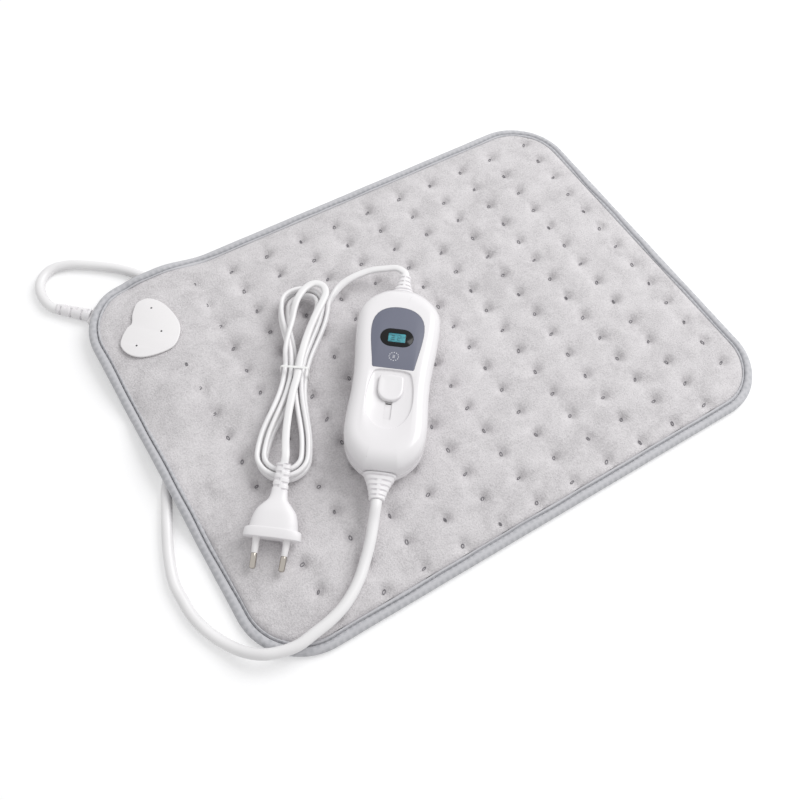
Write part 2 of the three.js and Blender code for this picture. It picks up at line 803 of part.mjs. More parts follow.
// Housing under the corner: a tray with a neck toward the pad's edge, and its cover.
const trayTop = housingHeight - housingCoverThickness - seatGap;
function housingPlan(grow, foot, top) {
  const neckLength = housingNeckEnd + grow;
  const neckWidth = housingNeckWidth + 2 * grow;
  const neck = block(neckLength / 2, -housingNeckOffset, foot, neckLength, neckWidth, top - foot);
  return solid(slab(heartShape(grow - housingInset), foot, top, 6)).add(solid(neck));
}
let tray = housingPlan(0, 0, trayTop).subtract(housingPlan(-housingWall, housingWall, housingHeight));
let cover = housingPlan(0, trayTop + seatGap, housingHeight);
for (const [x, y] of clampPins) {
  tray = tray.add(solid(rod(x, y, housingWall / 2, trayTop, pinBossDiameter, 10)));
}
for (const [x, y] of clampPins) {
  const hole = solid(rod(x, y, housingWall, housingHeight + overrun, pinHoleDiameter, 10));
  tray = tray.subtract(hole);
  cover = cover.subtract(hole);
}
for (const [x, y] of wireHoles) {
  cover = cover.subtract(solid(rod(x, y, 0, housingHeight + overrun, leadWireHoleDiameter, 8)));
}
const padCoreLevel = housingWall + seatGap + padCoreDiameter / 2;
const coreHole = lyingRod(
  housingNeckEnd - 2 * housingWall,
  housingNeckEnd + overrun,
  -housingNeckOffset,
  padCoreLevel,
  padCoreDiameter + 2 * seatGap,
  8,
);
tray = tray.subtract(solid(coreHole));
add('connector_base', geometryOf(tray), whitePlastic, connector);
add('connector_cover', geometryOf(cover), whitePlastic, connector);

const cornerTerminalFoot = housingWall + seatGap;
add('connector_terminal_block', block(
  cornerTerminalX,
  -housingNeckOffset,
  cornerTerminalFoot,
  padTerminalLength,
  padTerminalWidth,
  trayTop - cornerTerminalFoot,
), darkPlastic, connector);
const fuseY = (-housingNeckOffset + padTerminalWidth / 2 + clampPins[2][1] - pinBossDiameter / 2) / 2;
add('thermal_fuse', lyingRod(
  cornerTerminalX - thermalFuseLength / 2,
  cornerTerminalX + thermalFuseLength / 2,
  fuseY,
  cornerTerminalFoot + thermalFuseDiameter / 2,
  thermalFuseDiameter,
  10,
), glassBody, connector);
add('pad_cord_inner_cores', lyingRod(
  cornerTerminalX + padTerminalLength / 2 + seatGap,
  housingNeckEnd,
  -housingNeckOffset,
  padCoreLevel,
  padCoreDiameter,
  8,
), darkPlastic, connector);

// A ribbed, tapering strain relief along X: rings that swell and shrink, from a root to a tip.
function ribbedRings(start, length, ribs, ribDepth, centreAt, halfSizesAt, sides) {
  const travel = new THREE.Vector3(1, 0, 0);
  const across = new THREE.Vector3().crossVectors(levelUp, travel);
  const ring = (share, depth) => {
    const [halfWidth, halfHeight] = halfSizesAt(share);
    const centre = centreAt(share).add(new THREE.Vector3(start + share * length, 0, 0));
    return ringAt(centre, across, levelUp, halfWidth - depth, halfHeight - depth, sides, Math.PI / sides);
  };
  const rings = [ring(0, 0)];
  for (let rib = 0; rib < ribs; rib += 1) {
    rings.push(ring((rib + ribCrestShare) / (ribs + ribEndShare), 0));
    rings.push(ring((rib + ribValleyShare) / (ribs + ribEndShare), ribDepth));
  }
  rings.push(ring(ribs / (ribs + ribEndShare), 0), ring(1, 0));
  return rings;
}

const padReliefStart = housingNeckEnd + seatGap;
const padReliefRings = ribbedRings(
  padReliefStart,
  padReliefLength,
  padReliefRibs,
  padReliefRibDepth,
  (share) => new THREE.Vector3(0, -housingNeckOffset, padCordRise
    + THREE.MathUtils.lerp(padReliefRootDiameter, padReliefTipDiameter, share) / 2),
  (share) => {
    const radius = THREE.MathUtils.lerp(padReliefRootDiameter, padReliefTipDiameter, share) / 2;
    return [radius, radius];
  },
  8,
);
add('pad_strain_relief', loft(padReliefRings), whiteSoftPlastic, connector);

// Controller frame: X toward the mains end.
const controller = new THREE.Group();
controller.position.set(controllerX, controllerY, crownHeight + seatGap);
controller.rotation.z = controllerTurn * degrees;
part.add(controller);
controller.updateMatrix();
const controllerPoint = (x, y, z) => new THREE.Vector3(x, y, z).applyMatrix4(controller.matrix);

// Pad cord: out of the controller, over the pad's near corner, under the pad and round to the corner relief.
const padCordSides = 8;
const padCordStep = 12;
const padCordExit = tailLength + seatGap + thickReliefLength + seatGap;
const padCordVisible = [
  [-102, -98.5, 19.8],
  [-110, -108, 17],
  [-119, -117, 15.3],
  [-128, -125, 14.8],
  [-141, -133, 14.6],
  [-153, -137, 14.6],
  [-166, -139, 14.2],
  [-177, -140, 13.2],
  [-187, -138, 12.2],
  [-196, -134, 10.8],
  [-204, -127, 8],
  [-211, -117, 5.2],
  [-217, -105, 3.9],
  [-221, -92, 3.6],
  [-222, -79, 3.6],
  [-222, -67, 3.6],
  [-218, -51, 3.6],
  [-212, -35, 3.6],
];
const padCordLoop = [
  [-164, 174],
  [-175, 182],
  [-187, 189],
  [-198, 191],
  [-206, 187.5],
  [-211.5, 180],
  [-213, 169],
];
const flatOnTable = ([x, y]) => new THREE.Vector3(x, y, padCordLevel);
const reliefTipX = padReliefStart + padReliefLength + seatGap;
const reliefTipLevel = padCordRise + padReliefTipDiameter / 2;
const padCordPath = new LaidPath([
  controllerPoint(-padCordExit, 0, partingHeight),
  controllerPoint(-padCordExit - padCordDiameter / 2, 0, partingHeight),
  ...padCordVisible.map(vector),
  ...hiddenRoute.map(flatOnTable),
  ...padCordLoop.map(flatOnTable),
  cornerPoint(reliefTipX + padCordDiameter / 2, -housingNeckOffset, reliefTipLevel),
  cornerPoint(reliefTipX, -housingNeckOffset, reliefTipLevel),
]);
const padCordTube = cordAlong(padCordPath, padCordDiameter, padCordDiameter, padCordSides, padCordStep);
add('pad_cord', padCordTube, whiteVinyl);

// Half an outline from its start and cubic curves, mirrored to a closed list of points, counterclockwise.
function mirroredOutline(start, curves, segments) {
  const half = [new THREE.Vector2(...start)];
  for (const [first, second, end] of curves) {
    const curve = new THREE.CubicBezierCurve(
      half[half.length - 1],
      new THREE.Vector2(...first),
      new THREE.Vector2(...second),
      new THREE.Vector2(...end),
    );
    half.push(...curve.getPoints(segments).slice(1));
  }
  const far = half
    .filter((point) => point.y > 0)
    .map((point) => new THREE.Vector2(point.x, -point.y))
    .reverse();
  return [...half, ...far];
}

// The same outline moved inward by an inset, or outward by a negative one.
function insetOutline(points, inset) {
  return points.map((point, i) => {
    const before = points[(i + points.length - 1) % points.length];
    const after = points[(i + 1) % points.length];
    const incoming = new THREE.Vector2().subVectors(point, before).normalize();
    const outgoing = new THREE.Vector2().subVectors(after, point).normalize();
    const inward = new THREE.Vector2(-(incoming.y + outgoing.y), incoming.x + outgoing.x).normalize();
    const spread = Math.max(0.5, -inward.x * incoming.y + inward.y * incoming.x);
    return point.clone().addScaledVector(inward, inset / spread);
  });
}

const levelRing = (points, z) => points.map((point) => new THREE.Vector3(point.x, point.y, z));

// A body of an outline between two levels, with rounded lower and upper edges.
function pebble(points, inset, foot, top, lowRadius, topRadius, segments) {
  const rings = [];
  for (let i = 0; i <= segments && lowRadius > 0; i += 1) {
    const turn = (Math.PI / 2) * (i / segments);
    const draw = lowRadius * (1 - Math.sin(turn));
    rings.push(levelRing(insetOutline(points, inset + draw), foot + lowRadius * (1 - Math.cos(turn))));
  }
  if (lowRadius === 0) rings.push(levelRing(insetOutline(points, inset), foot));
  for (let i = segments; i >= 0; i -= 1) {
    const turn = (Math.PI / 2) * (i / segments);
    const draw = topRadius * (1 - Math.sin(turn));
    rings.push(levelRing(insetOutline(points, inset + draw), top - topRadius * (1 - Math.cos(turn))));
  }
  return loft(rings);
}

// Controller outline, from the mains end to the pad end.
const bodyAlongShares = [
  [0.91, 0.76, 0.545],
  [0.24, 0.09, -0.19],
  [-0.36, -0.44, -0.6],
  [-0.8, -0.92, -1],
];
const headShoulderShare = 0.71;
const tailShoulderShare = 0.76;
const bodyHalfWidths = [
  [headShoulderShare * headHalfWidth, headHalfWidth, headHalfWidth],
  [headHalfWidth, waistHalfWidth, waistHalfWidth],
  [waistHalfWidth, bellyHalfWidth, bellyHalfWidth],
  [bellyHalfWidth, tailShoulderShare * bellyHalfWidth, tailEndHalfWidth],
];
const bodyCurves = bodyAlongShares.map((shares, i) => shares.map((share, k) => [
  share * (share > 0 ? headLength : tailLength),
  bodyHalfWidths[i][k],
]));
const controllerOutline = mirroredOutline([headLength, headEndHalfWidth], bodyCurves, 5);

// An outline down from its upper end, in shares of its length and half width.
function dropOutline(upperEnd, lowerEnd, halfWidth, curveShares, segments) {
  const place = ([alongShare, acrossShare]) => [
    THREE.MathUtils.lerp(upperEnd, lowerEnd, alongShare),
    acrossShare * halfWidth,
  ];
  return mirroredOutline([upperEnd, 0], curveShares.map((curve) => curve.map(place)), segments);
}
const labelShares = [
  [[0, 0.55], [0.1, 1], [0.36, 1]],
  [[0.6, 1], [0.75, 0.93], [0.93, 0.8]],
  [[0.98, 0.76], [1, 0.6], [1, 0.5]],
  [[1, 0.3], [1, 0.1], [1, 0]],
];
const recessShares = [
  [[0, 0.55], [0.01, 0.76], [0.073, 0.83]],
  [[0.21, 0.96], [0.35, 1], [0.51, 1]],
  [[0.76, 1], [1, 0.6], [1, 0]],
];
const knobShares = [
  [[0, 0.5], [0.01, 0.82], [0.07, 0.93]],
  [[0.2, 1], [0.4, 1], [0.52, 1]],
  [[0.82, 1], [1, 0.56], [1, 0]],
];
const recessBottomEnd = tailLength - recessFromTail;
const slideTravel = recessBottomEnd - knobBottomEnd - knobEndClearance;
const labelOutline = dropOutline(labelTopEnd, -labelBottomEnd, labelHalfWidth, labelShares, 5);
const recessOutline = dropOutline(-recessTopEnd, -recessBottomEnd, recessHalfWidth, recessShares, 5);
const knobOutline = dropOutline(-knobTopEnd, -knobBottomEnd, knobHalfWidth, knobShares, 4);

// A rounded rectangle round a place.
function roundedRectangle(x, y, length, width, radius) {
  const shape = new THREE.Shape();
  const [endX, endY] = [length / 2 - radius, width / 2 - radius];
  shape.absarc(x + endX, y + endY, radius, 0, Math.PI / 2, false);
  shape.absarc(x - endX, y + endY, radius, Math.PI / 2, Math.PI, false);
  shape.absarc(x - endX, y - endY, radius, Math.PI, 1.5 * Math.PI, false);
  shape.absarc(x + endX, y - endY, radius, 1.5 * Math.PI, fullTurn, false);
  shape.closePath();
  return shape;
}

const bodyOuter = solid(pebble(
  controllerOutline, 0, 0, controllerHeight, controllerEdgeRadius, controllerEdgeRadius, 4));
const innerEdgeRadius = controllerEdgeRadius - controllerWall;
const bodyInner = solid(pebble(
  controllerOutline,
  controllerWall,
  controllerWall,
  controllerHeight - controllerWall,
  innerEdgeRadius,
  innerEdgeRadius,
  3,
));
const bodySpan = 2 * (headLength + tailLength);
const upperFoot = partingHeight + partingGap / 2;
const upperHalf = solid(block(0, 0, upperFoot, bodySpan, bodySpan, deepCut));
const lowerHalf = solid(block(0, 0, partingHeight - partingGap / 2 - deepCut, bodySpan, bodySpan, deepCut));
const reliefHoleDiameter = reliefNeckDiameter + 2 * seatGap;
const reliefHoles = solid(lyingRod(
  headLength - 2 * controllerWall,
  headLength + overrun,
  0,
  partingHeight,
  reliefHoleDiameter,
  reliefSides,
))
  .add(solid(lyingRod(
    -tailLength - overrun,
    -tailLength + 2 * controllerWall,
    0,
    partingHeight,
    reliefHoleDiameter,
    reliefSides,
  )));

const screwHeadColumn = headLength - screwFromHead;
const screwTailColumn = tailLength - screwFromTail;
const screwPlaces = [
  [screwHeadColumn, screwHeadOffset],
  [screwHeadColumn, -screwHeadOffset],
  [-screwTailColumn, screwTailOffset],
  [-screwTailColumn, -screwTailOffset],
];
const screwHoleDiameter = screwShankDiameter + 2 * seatGap;

// Bottom shell with its screw pillars, whose feet carry the board.
let bottomShell = bodyOuter.intersect(lowerHalf).subtract(bodyInner);
for (const [x, y] of screwPlaces) {
  const foot = solid(rod(x, y, controllerWall / 2, boardLevel - seatGap, pillarFootDiameter));
  const pillar = solid(rod(x, y, controllerWall / 2, partingHeight - partingGap / 2, pillarDiameter));
  bottomShell = bottomShell.add(foot).add(pillar);
}
for (const [x, y] of screwPlaces) {
  const headBore = rod(x, y, -overrun, screwHeadLevel, screwHeadDiameter + 2 * seatGap);
  bottomShell = bottomShell.subtract(solid(headBore))
    .subtract(solid(rod(x, y, -overrun, deepCut, screwHoleDiameter, 8)));
}
add('controller_bottom_shell', geometryOf(bottomShell.subtract(reliefHoles)), whitePlastic, controller);

// Slide knob sizes that the recess and slot follow.
const recessFloor = controllerHeight - recessDepth;
const stemX = -(knobTopEnd + knobBottomEnd) / 2;
const slotUpperEnd = stemX + stemLength / 2 + slotEndClearance;
const slotLowerEnd = stemX - slideTravel - stemLength / 2 - slotEndClearance;

// Top shell: label pocket, window opening, recess with its floor, slot and screw bosses.
const windowFoot = controllerHeight + displayProud - windowThickness;
let topShell = bodyOuter.intersect(upperHalf).subtract(bodyInner);
const recessWell = slab(
  new THREE.Shape(insetOutline(recessOutline, -controllerWall)),
  recessFloor - controllerWall,
  controllerHeight - controllerWall / 2,
);
topShell = topShell.add(solid(recessWell));
for (const [x, y] of screwPlaces) {
  const boss = rod(x, y, upperFoot, controllerHeight - controllerWall / 2, pillarDiameter);
  topShell = topShell.add(solid(boss));
}
for (const [x, y] of screwPlaces) {
  const bore = rod(x, y, 0, screwHeadLevel + screwLength + seatGap, screwHoleDiameter, 8);
  topShell = topShell.subtract(solid(bore));
}
const windowShape = roundedRectangle(
  windowCentre, 0, windowLength + 2 * seatGap, windowWidth + 2 * seatGap, windowLength / 2 + seatGap);
const labelPocket = slab(
  new THREE.Shape(insetOutline(labelOutline, -seatGap)),
  controllerHeight - labelThickness - seatGap,
  controllerHeight + overrun,
);
topShell = topShell
  .subtract(solid(slab(new THREE.Shape(recessOutline), recessFloor, controllerHeight + overrun)))
  .subtract(solid(block(
    (slotUpperEnd + slotLowerEnd) / 2, 0, partingHeight, slotUpperEnd - slotLowerEnd, slotWidth, deepCut)))
  .subtract(solid(labelPocket))
  .subtract(solid(slab(windowShape, partingHeight, controllerHeight + overrun, 5)))
  .subtract(reliefHoles);
add('controller_top_shell', geometryOf(topShell), whitePlastic, controller);

const labelSlab = slab(new THREE.Shape(labelOutline), controllerHeight - labelThickness, controllerHeight);
const labelSolid = solid(labelSlab)
  .subtract(solid(slab(windowShape, partingHeight, controllerHeight + overrun, 5)));
add('display_label', geometryOf(labelSolid), labelFilm, controller);

const screenHole = block(
  windowCentre, 0, partingHeight, displayLength + 2 * seatGap, displayWidth + 2 * seatGap, deepCut);
const windowSolid = solid(slab(
  roundedRectangle(windowCentre, 0, windowLength, windowWidth, windowLength / 2),
  windowFoot,
  controllerHeight + displayProud,
  5,
)).subtract(solid(screenHole));
add('display_window', geometryOf(windowSolid), blackGloss, controller);

const partsLevel = boardLevel + boardThickness + seatGap;
const moduleTop = windowFoot - seatGap;
add('display_module', block(
  windowCentre,
  0,
  partsLevel,
  displayBodyLength,
  displayBodyWidth,
  moduleTop - partsLevel,
), darkPlastic, controller);
add('display_screen', block(
  windowCentre,
  0,
  moduleTop + seatGap,
  displayLength,
  displayWidth,
  controllerHeight + displayProud - moduleTop - seatGap,
), litGlass, controller);

// Circuit board, cut off before the ends and round the pillars.
const boardLength = headLength + tailLength - boardHeadCut - boardTailCut;
const boardMiddle = (headLength - boardHeadCut - tailLength + boardTailCut) / 2;
let board = solid(slab(
  new THREE.Shape(insetOutline(controllerOutline, controllerWall + boardInset)),
  boardLevel,
  boardLevel + boardThickness,
)).intersect(solid(block(boardMiddle, 0, 0, boardLength, bodySpan, deepCut)));
for (const [x, y] of screwPlaces) {
  board = board.subtract(solid(rod(x, y, 0, deepCut, pillarDiameter + 2 * seatGap)));
}
add('circuit_board', geometryOf(board), boardLaminate, controller);

screwPlaces.forEach(([x, y], i) => {
  const headTop = screwHeadLevel - seatGap;
  const screw = solid(rod(x, y, headTop - screwHeadThickness, headTop, screwHeadDiameter))
    .add(solid(rod(x, y, headTop - screwHeadThickness / 2, headTop + screwLength, screwShankDiameter, 8)));
  add(`case_screw_${i + 1}`, geometryOf(screw), brightMetal, controller);
});

// Slide switch, its carriage and the knob with its stem.
add('slide_switch_body', block(
  stemX - slideTravel / 2,
  0,
  partsLevel,
  slideTravel + switchBodyEnds,
  switchBodyWidth,
  switchBodyHeight,
), darkPlastic, controller);
const carriageFoot = partsLevel + switchBodyHeight + slideGap;
const slider = new THREE.Group();
controller.add(slider);
add('slide_carriage', block(
  stemX, 0, carriageFoot, carriageLength, carriageWidth, carriageThickness), darkPlastic, slider);
const knobFoot = recessFloor + slideGap;
const stemFoot = carriageFoot + carriageThickness + seatGap;
const knob = solid(pebble(knobOutline, 0, knobFoot, knobFoot + knobHeight, 0, knobEdgeRadius, 3))
  .add(solid(block(stemX, 0, stemFoot, stemLength, stemWidth, knobFoot + knobHeight / 2 - stemFoot)));
add('slide_knob', geometryOf(knob), whitePlastic, slider);

// Terminal blocks, fuse, capacitor and the cords' inner ends.
const mainsTerminalCentre = headLength - mainsTerminalFromHead;
const padTerminalCentre = tailLength - padTerminalFromTail;
function terminalBlock(x) {
  return block(x, 0, partsLevel, terminalLength, terminalWidth, terminalHeight);
}
add('mains_terminal_block', terminalBlock(mainsTerminalCentre), darkPlastic, controller);
add('pad_terminal_block', terminalBlock(-padTerminalCentre), darkPlastic, controller);
add('fuse', lyingRod(
  fuseCentre - fuseLength / 2,
  fuseCentre + fuseLength / 2,
  -fuseOffset,
  partsLevel + fuseDiameter / 2,
  fuseDiameter,
), glassBody, controller);
add('capacitor', block(
  capacitorCentre, capacitorOffset, partsLevel, capacitorLength, capacitorWidth, capacitorHeight,
), darkPlastic, controller);
const flangeInset = controllerWall + seatGap + reliefFlangeThickness;
add('mains_cord_inner_cores', lyingRod(
  mainsTerminalCentre + terminalLength / 2 + seatGap,
  headLength - flangeInset - seatGap,
  0,
  partingHeight,
  mainsCoreDiameter,
  8,
), darkPlastic, controller);
add('controller_cord_inner_cores', lyingRod(
  -tailLength + flangeInset + seatGap,
  -padTerminalCentre - terminalLength / 2 - seatGap,
  0,
  partingHeight,
  padCoreInnerDiameter,
  8,
), darkPlastic, controller);

// Strain reliefs: a flange inside, a neck through the wall and a ribbed taper outside, along X.
function controllerRelief(wallFace, length, widths, tipHeight, ribs) {
  const axis = new THREE.Vector3(0, 0, partingHeight);
  const across = new THREE.Vector3(0, 1, 0);
  const round = (x, diameter) => ringAt(
    axis.clone().setX(x), across, levelUp, diameter / 2, diameter / 2, reliefSides, Math.PI / reliefSides);
  const [rootWidth, middleWidth, tipWidth] = widths;
  const halfSizesAt = (share) => {
    const width = share < 0.5
      ? THREE.MathUtils.lerp(rootWidth, middleWidth, 2 * share)
      : THREE.MathUtils.lerp(middleWidth, tipWidth, 2 * share - 1);
    return [width / 2, THREE.MathUtils.lerp(reliefRootHeight, tipHeight, share) / 2];
  };
  const inner = wallFace - controllerWall - seatGap;
  return loft([
    round(inner - reliefFlangeThickness, reliefFlangeDiameter),
    round(inner, reliefFlangeDiameter),
    round(inner, reliefNeckDiameter),
    round(wallFace + seatGap, reliefNeckDiameter),
    ...ribbedRings(
      wallFace + seatGap, length, ribs, reliefRibDepth, () => axis.clone(), halfSizesAt, reliefSides),
  ]);
}
add('mains_strain_relief', controllerRelief(
  headLength,
  slimReliefLength,
  [slimReliefRootWidth, slimReliefMiddleWidth, slimReliefTipWidth],
  slimReliefTipWidth,
  slimReliefRibs,
), whiteSoftPlastic, controller);
const padEndRelief = controllerRelief(
  tailLength,
  thickReliefLength,
  [thickReliefRootWidth, thickReliefMiddleWidth, thickReliefTipWidth],
  thickReliefTipWidth,
  thickReliefRibs,
);
add('controller_pad_strain_relief', padEndRelief.rotateZ(Math.PI), whiteSoftPlastic, controller);

// Hank frame: X toward the hank's far end, the waist at its middle.
const hank = new THREE.Group();
hank.position.set(hankX, hankY, 0);
hank.rotation.z = hankTurn * degrees;
part.add(hank);
hank.updateMatrix();
const hankToPad = (point) => point.clone().applyMatrix4(hank.matrix);

// Two layers on the plush: the loops wind inward below, reverse in a half turn and wind outward above.
const tieFoot = crownHeight + seatGap;
const lowerLevel = tieFoot + tieThickness + seatGap + mainsCordHeight / 2;
const upperLevel = lowerLevel + mainsCordHeight + hankLayerGap;
const crossingLevel = upperLevel + mainsCordHeight / 2 + hankLayerGap + mainsCordWidth / 2;
const legShare = 0.72;
const reversalTurn = 2 - (1 - legShare) / 4;
const legSteps = 6;
const archSteps = 6;
const topStraight = hankTopReach - hankLobe;
const bottomStraight = hankBottomReach - hankLobe;

// A place on the hank's centre line after a number of turns.
function hankPlace(turns) {
  const inward = turns < reversalTurn ? turns : 2 * reversalTurn - turns;
  const lobe = hankLobe - hankLobeStep * inward;
  const waist = hankWaist - hankWaistStep * inward;
  const half = Math.floor(2 * turns);
  const share = 2 * turns - half;
  const downward = half % 2 === 0;
  const side = downward ? -1 : 1;
  const climb = THREE.MathUtils.clamp((2 * turns - 3 - legShare) / (1 - legShare), 0, 1);
  const z = THREE.MathUtils.lerp(lowerLevel, upperLevel, climb);
  if (share < legShare) {
    const [from, to] = downward ? [topStraight, -bottomStraight] : [-bottomStraight, topStraight];
    const x = THREE.MathUtils.lerp(from, to, share / legShare);
    const reach = x > 0 ? topStraight : bottomStraight;
    const y = side * (waist + ((lobe - waist) * (1 - Math.cos((Math.PI * Math.abs(x)) / reach))) / 2);
    return new THREE.Vector3(x, y, z);
  }
  const turn = (Math.PI * (share - legShare)) / (1 - legShare);
  const end = downward ? -bottomStraight : topStraight;
  const outward = downward ? -1 : 1;
  return new THREE.Vector3(end + outward * lobe * Math.sin(turn), side * lobe * Math.cos(turn), z);
}

// The turns at which the hank has a ring: legs take a wide step, arches a narrow one.
const lastLegShare = (legShare * bottomStraight) / (bottomStraight + topStraight);
const hankTurns = [];
for (let half = 0; half < hankHalfTurns; half += 1) {
  for (let i = 0; i < legSteps; i += 1) hankTurns.push((half + (legShare * i) / legSteps) / 2);
  for (let i = 0; i < archSteps; i += 1) {
    hankTurns.push((half + legShare + ((1 - legShare) * i) / archSteps) / 2);
  }
}
for (let i = 0; i <= legSteps / 2; i += 1) {
  hankTurns.push((hankHalfTurns + (2 * lastLegShare * i) / legSteps) / 2);
}

const hankSection = (centre, travel, sides) => {
  const across = new THREE.Vector3().crossVectors(levelUp, travel).normalize();
  return ringAt(centre, across, levelUp, mainsCordWidth / 2, mainsCordHeight / 2, sides, Math.PI / 2);
};
const hankCentres = hankTurns.map(hankPlace);
const travelAt = (centres, i) => new THREE.Vector3()
  .subVectors(centres[Math.min(i + 1, centres.length - 1)], centres[Math.max(i - 1, 0)]);
const hankRings = hankCentres.map((centre, i) => hankSection(centre, travelAt(hankCentres, i), 6));
add('mains_cord_hank', loft(hankRings), whiteVinyl, hank);

// The hank's least gap to itself, measured between points on its surface along and round the tube.
function leastHankGap() {
  const between = 6;
  const rows = [];
  let run = 0;
  for (let i = 0; i < hankRings.length - 1; i += 1) {
    for (let k = 0; k < between; k += 1) {
      const share = k / between;
      const row = hankRings[i].flatMap((point, side) => {
        const corner = point.clone().lerp(hankRings[i + 1][side], share);
        const next = (side + 1) % hankRings[i].length;
        const neighbour = hankRings[i][next].clone().lerp(hankRings[i + 1][next], share);
        return [corner, corner.clone().lerp(neighbour, 0.5)];
      });
      rows.push({ run: run + share * hankCentres[i].distanceTo(hankCentres[i + 1]), row });
    }
    run += hankCentres[i].distanceTo(hankCentres[i + 1]);
  }
  let least = Infinity;
  for (let i = 0; i < rows.length; i += 1) {
    for (let j = i + 1; j < rows.length; j += 1) {
      if (rows[j].run - rows[i].run < 4 * mainsCordHeight) continue;
      if (rows[i].row[0].distanceTo(rows[j].row[0]) > 3 * mainsCordHeight) continue;
      for (const a of rows[i].row) for (const b of rows[j].row) least = Math.min(least, a.distanceTo(b));
    }
  }
  return { least, run };
}
const hankGap = leastHankGap();
console.log(`hank: least gap to itself ${hankGap.least.toFixed(2)} mm, length ${hankGap.run.toFixed(0)} mm`);

// The tie round the waist.
const tieHalfWidth = hankWaist + mainsCordWidth / 2;
const tieInnerTop = crossingLevel + mainsCordWidth / 2 + seatGap;
const tieMiddle = (tieFoot + tieThickness + tieInnerTop) / 2;
const tieInnerHeight = tieInnerTop - tieFoot - tieThickness;
const tieShape = roundedRectangle(
  0,
  tieMiddle,
  2 * (tieHalfWidth + tieThickness),
  tieInnerHeight + 2 * tieThickness,
  mainsCordWidth / 2 + tieThickness,
);
tieShape.holes.push(roundedRectangle(0, tieMiddle, 2 * tieHalfWidth, tieInnerHeight, mainsCordWidth / 2));
const acrossHank = new THREE.Matrix4().makeBasis(
  new THREE.Vector3(0, 1, 0), new THREE.Vector3(0, 0, 1), new THREE.Vector3(1, 0, 0));
const tieBand = slab(tieShape, -tieWidth / 2, tieWidth / 2, 3).applyMatrix4(acrossHank);
add('cord_tie', tieBand, whiteSoftPlastic, hank);

// Plug frame: X toward the pins, the face at zero, tipped down onto the plush.
const plug = new THREE.Group();
plug.position.set(plugX, plugY, plugLevel);
plug.rotation.set(0, plugPitch * degrees, plugTurn * degrees, 'ZYX');
part.add(plug);
plug.updateMatrix();
const plugPoint = (x, y, z) => new THREE.Vector3(x, y, z).applyMatrix4(plug.matrix);

// Plug body sections from its cord end to its face: shares of length, body width and thickness.
const plugSectionShares = [
  [1, 0.3, 0.38],
  [0.7, 0.35, 0.42],
  [0.574, 0.39, 0.53],
  [0.468, 0.63, 0.7],
  [0.32, 0.9, 0.88],
  [0.128, 1, 0.97],
];
const plugSectionSides = 16;
function plugRing(x, halfWidth, halfHeight) {
  const ring = [];
  for (let k = 0; k < plugSectionSides; k += 1) {
    const turn = (fullTurn * (k + 0.5)) / plugSectionSides;
    const square = (value) => Math.sign(value) * Math.abs(value) ** plugCornerPower;
    ring.push(new THREE.Vector3(x, halfWidth * square(Math.cos(turn)), halfHeight * square(Math.sin(turn))));
  }
  return ring;
}
const plugSection = ([lengthShare, widthShare, thicknessShare], depth = 0) => plugRing(
  -lengthShare * plugLength,
  (widthShare * plugBodyWidth) / 2 - depth,
  (thicknessShare * plugThickness) / 2 - depth,
);
const plugRibShares = [0.35, 0.65, 0.75, 1];
const neckRings = [plugSection(plugSectionShares[0])];
for (let rib = 0; rib < plugRibs; rib += 1) {
  plugRibShares.forEach((ribShare, i) => {
    const share = (rib + ribShare) / plugRibs;
    const [root, tip] = plugSectionShares;
    const section = root.map((value, k) => THREE.MathUtils.lerp(value, tip[k], share));
    neckRings.push(plugSection(section, i < 2 ? plugRibDepth : 0));
  });
}
const plugShoulderWidth = THREE.MathUtils.lerp(plugBodyWidth, plugRimWidth, plugRimFlareShare);
const plugRings = [
  ...neckRings,
  ...plugSectionShares.slice(2).map((section) => plugSection(section)),
  plugRing(-plugRimDepth + seatGap, plugShoulderWidth / 2, plugThickness / 2),
  plugRing(0, plugRimWidth / 2, plugThickness / 2),
];
const pinLean = Math.atan2((pinSpacing - pinTipSpacing) / 2, pinLength);
const atPin = (geometry, side) => geometry.rotateZ(-side * pinLean).translate(0, (side * pinSpacing) / 2, 0);
let plugSolid = solid(loft(plugRings));
for (const side of [-1, 1]) {
  const sleeveHole = lyingRod(-sleeveRoot - seatGap, overrun, 0, 0, pinDiameter + 2 * seatGap);
  const coreHole = lyingRod(-pinRoot - seatGap, overrun, 0, 0, pinCoreDiameter + 2 * seatGap);
  plugSolid = plugSolid.subtract(solid(atPin(sleeveHole, side))).subtract(solid(atPin(coreHole, side)));
}
add('plug_body', geometryOf(plugSolid), whiteSoftPlastic, plug);
[-1, 1].forEach((side, i) => {
  const pin = solid(lyingRod(-pinRoot, pinLength - pinDiameter, 0, 0, pinCoreDiameter))
    .add(solid(lyingRod(sleeveLength + seatGap, pinLength, 0, 0, pinDiameter)));
  add(`plug_pin_${i + 1}`, atPin(geometryOf(pin), side), brightMetal, plug);
  const sleeve = solid(lyingRod(-sleeveRoot, sleeveLength, 0, 0, pinDiameter))
    .subtract(solid(lyingRod(-sleeveRoot - overrun, sleeveLength + overrun, 0, 0, sleeveBore)));
  add(`plug_pin_sleeve_${i + 1}`, atPin(geometryOf(sleeve), side), whitePlastic, plug);
});

